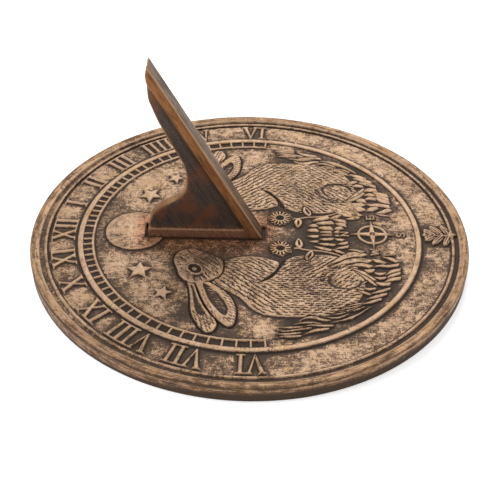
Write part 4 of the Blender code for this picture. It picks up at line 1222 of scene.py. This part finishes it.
class Shader:
    """Builds one node material."""

    def __init__(self, name):
        self.material = bpy.data.materials.new(name)
        self.material.use_nodes = True
        self.tree = self.material.node_tree
        self.surface = self.tree.nodes["Principled BSDF"]
        self.place = self.node("ShaderNodeTexCoord").outputs["Object"]

    def node(self, kind, **settings):
        made = self.tree.nodes.new(kind)
        for key, value in settings.items():
            setattr(made, key, value)
        return made

    def link(self, value, socket):
        if isinstance(value, (int, float)):
            socket.default_value = value
        elif isinstance(value, tuple):
            socket.default_value = (*value, 1) if len(socket.default_value) == 4 else value
        else:
            self.tree.links.new(value, socket)

    def noise(self, size, detail=4, rough=0.55, distortion=0, stretch=None, place=None):
        """Noise from 0 to 1 with features about size millimetres wide; stretch is a turn and a scale."""
        made = self.node("ShaderNodeTexNoise")
        made.inputs["Scale"].default_value = 1 / (size * MM)
        made.inputs["Detail"].default_value = detail
        made.inputs["Roughness"].default_value = rough
        made.inputs["Distortion"].default_value = distortion
        place = place or self.place
        if stretch:
            mapping = self.node("ShaderNodeMapping", vector_type="TEXTURE")
            mapping.inputs["Rotation"].default_value = stretch[0]
            mapping.inputs["Scale"].default_value = stretch[1]
            self.tree.links.new(place, mapping.inputs["Vector"])
            place = mapping.outputs["Vector"]
        self.tree.links.new(place, made.inputs["Vector"])
        return made.outputs["Fac"]

    def attribute(self, name):
        made = self.node("ShaderNodeAttribute", attribute_name=name)
        return made.outputs["Fac"]

    def math(self, operation, a, b=0):
        made = self.node("ShaderNodeMath", operation=operation)
        self.link(a, made.inputs[0])
        self.link(b, made.inputs[1])
        return made.outputs[0]

    def spread(self, value, low, high, to_low=0, to_high=1):
        made = self.node("ShaderNodeMapRange", interpolation_type="SMOOTHSTEP")
        self.link(value, made.inputs["Value"])
        for key, number in (("From Min", low), ("From Max", high), ("To Min", to_low), ("To Max", to_high)):
            made.inputs[key].default_value = number
        return made.outputs["Result"]

    def mix(self, factor, a, b, blend="MIX"):
        made = self.node("ShaderNodeMix", data_type="RGBA", blend_type=blend)
        self.link(factor, made.inputs[0])
        self.link(a, made.inputs[6])
        self.link(b, made.inputs[7])
        return made.outputs[2]

    def bump(self, height, distance, strength=1, normal=None):
        made = self.node("ShaderNodeBump")
        made.inputs["Strength"].default_value = strength
        made.inputs["Distance"].default_value = distance * MM
        self.link(height, made.inputs["Height"])
        if normal is not None:
            self.tree.links.new(normal, made.inputs["Normal"])
        return made.outputs["Normal"]


HIGH_BRONZE = (0.485, 0.328, 0.21)
WARM_BRONZE = (0.4, 0.255, 0.152)
MID_BRONZE = (0.175, 0.107, 0.065)
DARK_PATINA_AND_SHADE = (0.08, 0.056, 0.04)
DEEP_PATINA_AND_SHADE = (0.046, 0.033, 0.025)


def finish_bronze(s, colour, roughness, fine, coarse):
    """Gives a shader its colour, its roughness, a partly metallic surface and two layers of bumps."""
    s.link(colour, s.surface.inputs["Base Color"])
    s.surface.inputs["Metallic"].default_value = 0.4
    s.surface.inputs["Specular IOR Level"].default_value = 0.12
    s.link(roughness, s.surface.inputs["Roughness"])
    s.link(s.bump(*coarse, s.bump(*fine)), s.surface.inputs["Normal"])
    return s.material


def plate_material():
    """Bronze paint over a dark ground, thinned by rubbing: bright on edges and in blotches of rubbing, dark
    in every hollow, partly as patina and partly as painted shade; the patches add painted shade on the west
    side.
    """
    s = Shader("antiqued_bronze")
    recess, edge, foot_tint, turned = (s.attribute(name) for name in ("recess", "edge", "foot_tint", "turned"))
    split = s.node("ShaderNodeSeparateXYZ")
    s.link(s.place, split.inputs[0])
    east, north, up = split.outputs
    radius = s.math("SQRT", s.math("ADD", s.math("MULTIPLY", east, east), s.math("MULTIPLY", north, north)))
    around = s.node("ShaderNodeCombineXYZ")
    s.link(s.math("MULTIPLY", s.math("ARCTAN2", east, north), 0.014), around.inputs[0])
    s.link(radius, around.inputs[1])
    s.link(up, around.inputs[2])
    rings = s.noise(1.3, 4, 0.65, 0, None, around.outputs[0])
    blotch = s.noise(13, 5, 0.62, 0.6)
    mottle = s.noise(3.4, 5, 0.75, 0.4)
    scratch = s.noise(1, 3, 0.7, 0.6, ((0, 0, 0), (1, 4, 1)))
    speck = s.noise(0.7, 3, 0.75)
    rough = s.math("SUBTRACT", 1, s.math("MULTIPLY", turned, 0.6))
    patches = 0
    for value, weight in ((blotch, 1.35), (mottle, 2.1), (scratch, 1.3), (speck, 2)):
        patches = s.math("ADD", patches, s.math("MULTIPLY", s.math("SUBTRACT", value, 0.5), weight))
    wear_and_shade_level = s.math("ADD", 0.5, s.math("MULTIPLY", patches, rough))
    # These patches brighten places bright from rubbing and, on the west side, darken as painted shade.
    wear_and_shade_level = s.math("ADD", wear_and_shade_level, s.attribute("wear_and_shade"))
    grooved = s.math("MULTIPLY", s.math("MULTIPLY", s.math("SUBTRACT", rings, 0.5), 1.6), turned)
    wear_and_shade_level = s.math("ADD", wear_and_shade_level, grooved)
    wear_and_shade_level = s.math("ADD", wear_and_shade_level, s.math("MULTIPLY", edge, 0.7))
    # Recess darkens hollows with patina and also paints shade: creases, the gnomon's pocket, the plate's side
    # wall, outer rim edge and underside.
    wear_and_shade_level = s.math("SUBTRACT", wear_and_shade_level, s.math("MULTIPLY", recess, 1.2))
    wear_and_shade_level = s.math("SUBTRACT", wear_and_shade_level, s.math("MULTIPLY", foot_tint, 0.08))
    level = s.spread(wear_and_shade_level, -0.05, 1)
    low = s.mix(s.spread(recess, 0.3, 0.9), DARK_PATINA_AND_SHADE, DEEP_PATINA_AND_SHADE)
    warm = s.mix(s.spread(s.noise(9, 3), 0.35, 0.7), HIGH_BRONZE, WARM_BRONZE)
    colour = s.mix(s.spread(level, 0, 0.5), low, MID_BRONZE)
    colour = s.mix(s.spread(level, 0.35, 0.95), colour, warm)
    violet = s.spread(s.noise(5, 4, 0.6), 0.5, 0.75, 0, 0.5)
    colour = s.mix(violet, colour, (0.85, 0.75, 0.8), "MULTIPLY")
    golden = s.spread(s.noise(11, 3), 0.5, 0.7, 0, 0.5)
    colour = s.mix(golden, colour, (1, 0.95, 0.72), "MULTIPLY")
    colour = s.mix(s.math("MULTIPLY", turned, 0.6), colour, (0.82, 0.71, 0.58), "MULTIPLY")
    colour = s.mix(s.math("MULTIPLY", foot_tint, 0.7), colour, (1, 0.66, 0.51), "MULTIPLY")
    roughness = s.spread(level, 0, 1, 0.66, 0.44)
    fine, coarse = (s.noise(0.6, 3, 0.7), 0.22, 0.8), (s.noise(2.2, 3, 0.6), 0.35, 0.7)
    return finish_bronze(s, colour, roughness, fine, coarse)


def gnomon_material():
    """Darker copper-brown bronze, streaked along the style, with edges bright from rubbing and dark panels;
    creases and the foot get painted shade, the style's top face its own mottled colour darkened as painted
    shade, and the rounded panel edges gold with a painted highlight.
    """
    s = Shader("dark_bronze")
    recess, edge, panel = s.attribute("recess"), s.attribute("edge"), s.attribute("panel")
    lean = (atan2(STYLE_RISE, STYLE_RUN) - pi / 2, 0, 0)
    streak = s.noise(2.2, 5, 0.7, 0.3, (lean, (1, 1, 7)))
    cloud = s.noise(17, 4, 0.6, 0.6)
    speck = s.noise(0.9, 4, 0.75)
    copper = s.mix(s.spread(streak, 0.35, 0.65), (0.115, 0.052, 0.024), (0.34, 0.145, 0.052))
    copper = s.mix(s.spread(cloud, 0.45, 0.75, 0, 0.6), copper, (0.19, 0.072, 0.03))
    grain = s.math("ADD", s.math("MULTIPLY", streak, 0.35), s.math("MULTIPLY", speck, 0.65))
    dark = s.mix(s.spread(grain, 0.36, 0.62), (0.043, 0.036, 0.034), (0.108, 0.076, 0.058))
    red = s.spread(s.math("ADD", cloud, s.math("MULTIPLY", grain, 0.4)), 0.66, 0.86, 0, 0.7)
    dark = s.mix(red, dark, (0.185, 0.07, 0.034))
    foot = s.mix(s.spread(grain, 0.35, 0.65), (0.13, 0.065, 0.042), (0.34, 0.172, 0.1))
    colour = s.mix(s.attribute("foot"), copper, foot)
    colour = s.mix(panel, colour, dark)
    patchy = s.math("ADD", streak, s.math("MULTIPLY", speck, 0.4))
    # The style's top face: its own mottling, darkened as painted shade.
    top = s.mix(s.spread(patchy, 0.55, 0.82), (0.05, 0.029, 0.018), (0.2, 0.12, 0.068))
    colour = s.mix(s.attribute("style_top"), colour, top)
    # Gold on the rounded panel edges, partly its own colour and partly a painted highlight.
    gold = s.mix(s.spread(cloud, 0.35, 0.65), (0.4, 0.22, 0.09), (0.22, 0.11, 0.048))
    colour = s.mix(s.attribute("gold_and_highlight"), colour, gold)
    # Painted shade: near black where recess marks creases and the foot.
    colour = s.mix(s.math("MULTIPLY", recess, 0.75), colour, (0.02, 0.013, 0.011))
    rub = s.math("MULTIPLY", edge, s.spread(speck, 0.25, 0.6, 0.5, 1))
    colour = s.mix(rub, colour, (0.46, 0.29, 0.165))
    roughness = s.spread(streak, 0.2, 0.8, 0.55, 0.4)
    fine, coarse = (s.noise(0.8, 4, 0.7), 0.14, 0.6), (s.noise(5, 3, 0.5), 0.4, 0.5)
    return finish_bronze(s, colour, roughness, fine, coarse)


def steel_material():
    """Plain stainless fixings with fine turning marks and a little dulling."""
    s = Shader("stainless_fixings")
    dull = s.noise(1.6, 4, 0.6)
    s.link(s.mix(dull, (0.5, 0.5, 0.5), (0.68, 0.67, 0.65)), s.surface.inputs["Base Color"])
    s.surface.inputs["Metallic"].default_value = 1
    s.link(s.spread(dull, 0.2, 0.8, 0.22, 0.42), s.surface.inputs["Roughness"])
    marks = s.noise(0.3, 3, 0.6, 0, ((0, 0, 0), (1, 1, 0.11)))
    s.link(s.bump(marks, 0.02, 0.5), s.surface.inputs["Normal"])
    return s.material


def floor_material():
    s = Shader("pale_floor")
    pale = s.mix(s.noise(200, 2), (0.93, 0.93, 0.93), (0.96, 0.96, 0.96))
    s.link(pale, s.surface.inputs["Base Color"])
    s.surface.inputs["Roughness"].default_value = 0.9
    s.surface.inputs["Emission Color"].default_value = (1, 1, 1, 1)
    s.surface.inputs["Emission Strength"].default_value = 0.45
    return s.material


# ---------------------------------------------------------------- camera and light


def make_camera():
    """Looks east across the noon line, down on the dial, with a slight roll."""
    camera = bpy.data.objects.new("camera", bpy.data.cameras.new("camera"))
    bpy.context.scene.collection.objects.link(camera)
    down, turn, roll = radians(38.74), radians(0.076), radians(0.972)
    forward = Vector((cos(down) * cos(turn), cos(down) * sin(turn), -sin(down)))
    level_up = Vector((sin(down) * cos(turn), sin(down) * sin(turn), cos(down)))
    level_right = forward.cross(level_up)
    right = level_right * cos(roll) + level_up * sin(roll)
    up = level_up * cos(roll) - level_right * sin(roll)
    place = Vector((-0.46887, -0.00086, 0.37125))
    camera.matrix_world = Matrix((
        (right.x, up.x, -forward.x, place.x),
        (right.y, up.y, -forward.y, place.y),
        (right.z, up.z, -forward.z, place.z),
        (0, 0, 0, 1)))
    camera.data.lens = 73.92
    camera.data.sensor_width = 36
    camera.data.clip_start = 0.01
    bpy.context.scene.camera = camera


LIGHT_AIM = (0, 0, 0.01)


def area_light(name, place, size, power):
    light = bpy.data.objects.new(name, bpy.data.lights.new(name, "AREA"))
    bpy.context.scene.collection.objects.link(light)
    light.data.shape = "DISK"
    light.data.size = size
    light.data.energy = power
    light.location = place
    light.rotation_euler = (Vector(LIGHT_AIM) - Vector(place)).to_track_quat("-Z", "Y").to_euler()


def make_studio():
    world = bpy.data.worlds.new("studio")
    bpy.context.scene.world = world
    world.use_nodes = True
    background = world.node_tree.nodes["Background"]
    background.inputs["Color"].default_value = (1, 1, 1, 1)
    background.inputs["Strength"].default_value = 0.7
    area_light("key", (0.7, -0.1, 0.75), 0.45, 5)
    area_light("fill", (-0.2, 0.7, 0.8), 0.5, 3)
    bpy.ops.mesh.primitive_plane_add(size=60)
    floor = bpy.context.object
    floor.name = "floor"
    floor.data.materials.append(floor_material())
    bpy.context.scene.view_settings.view_transform = "Standard"


# ---------------------------------------------------------------- putting it together


def place_piece(piece, node, material):
    piece.data.materials.clear()
    piece.data.materials.append(material)
    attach(piece, "root")
    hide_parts(node)


def main():
    make_camera()
    make_studio()
    bronze, dark_bronze, steel = plate_material(), gnomon_material(), steel_material()
    relief = field_relief()
    recess, edge = relief.wear_maps()
    halves = [make_field(side, relief, recess, edge) for side in (-1, 1)]
    for piece in (*halves, make_chapter_ring(), make_bud(), make_body()):
        place_piece(piece, "dial_plate", bronze)
    place_piece(make_gnomon(), "gnomon", dark_bronze)
    for name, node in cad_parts.items():
        if "screw" in name or "washer" in name:
            for slot in node.material_slots:
                slot.material = steel


main()
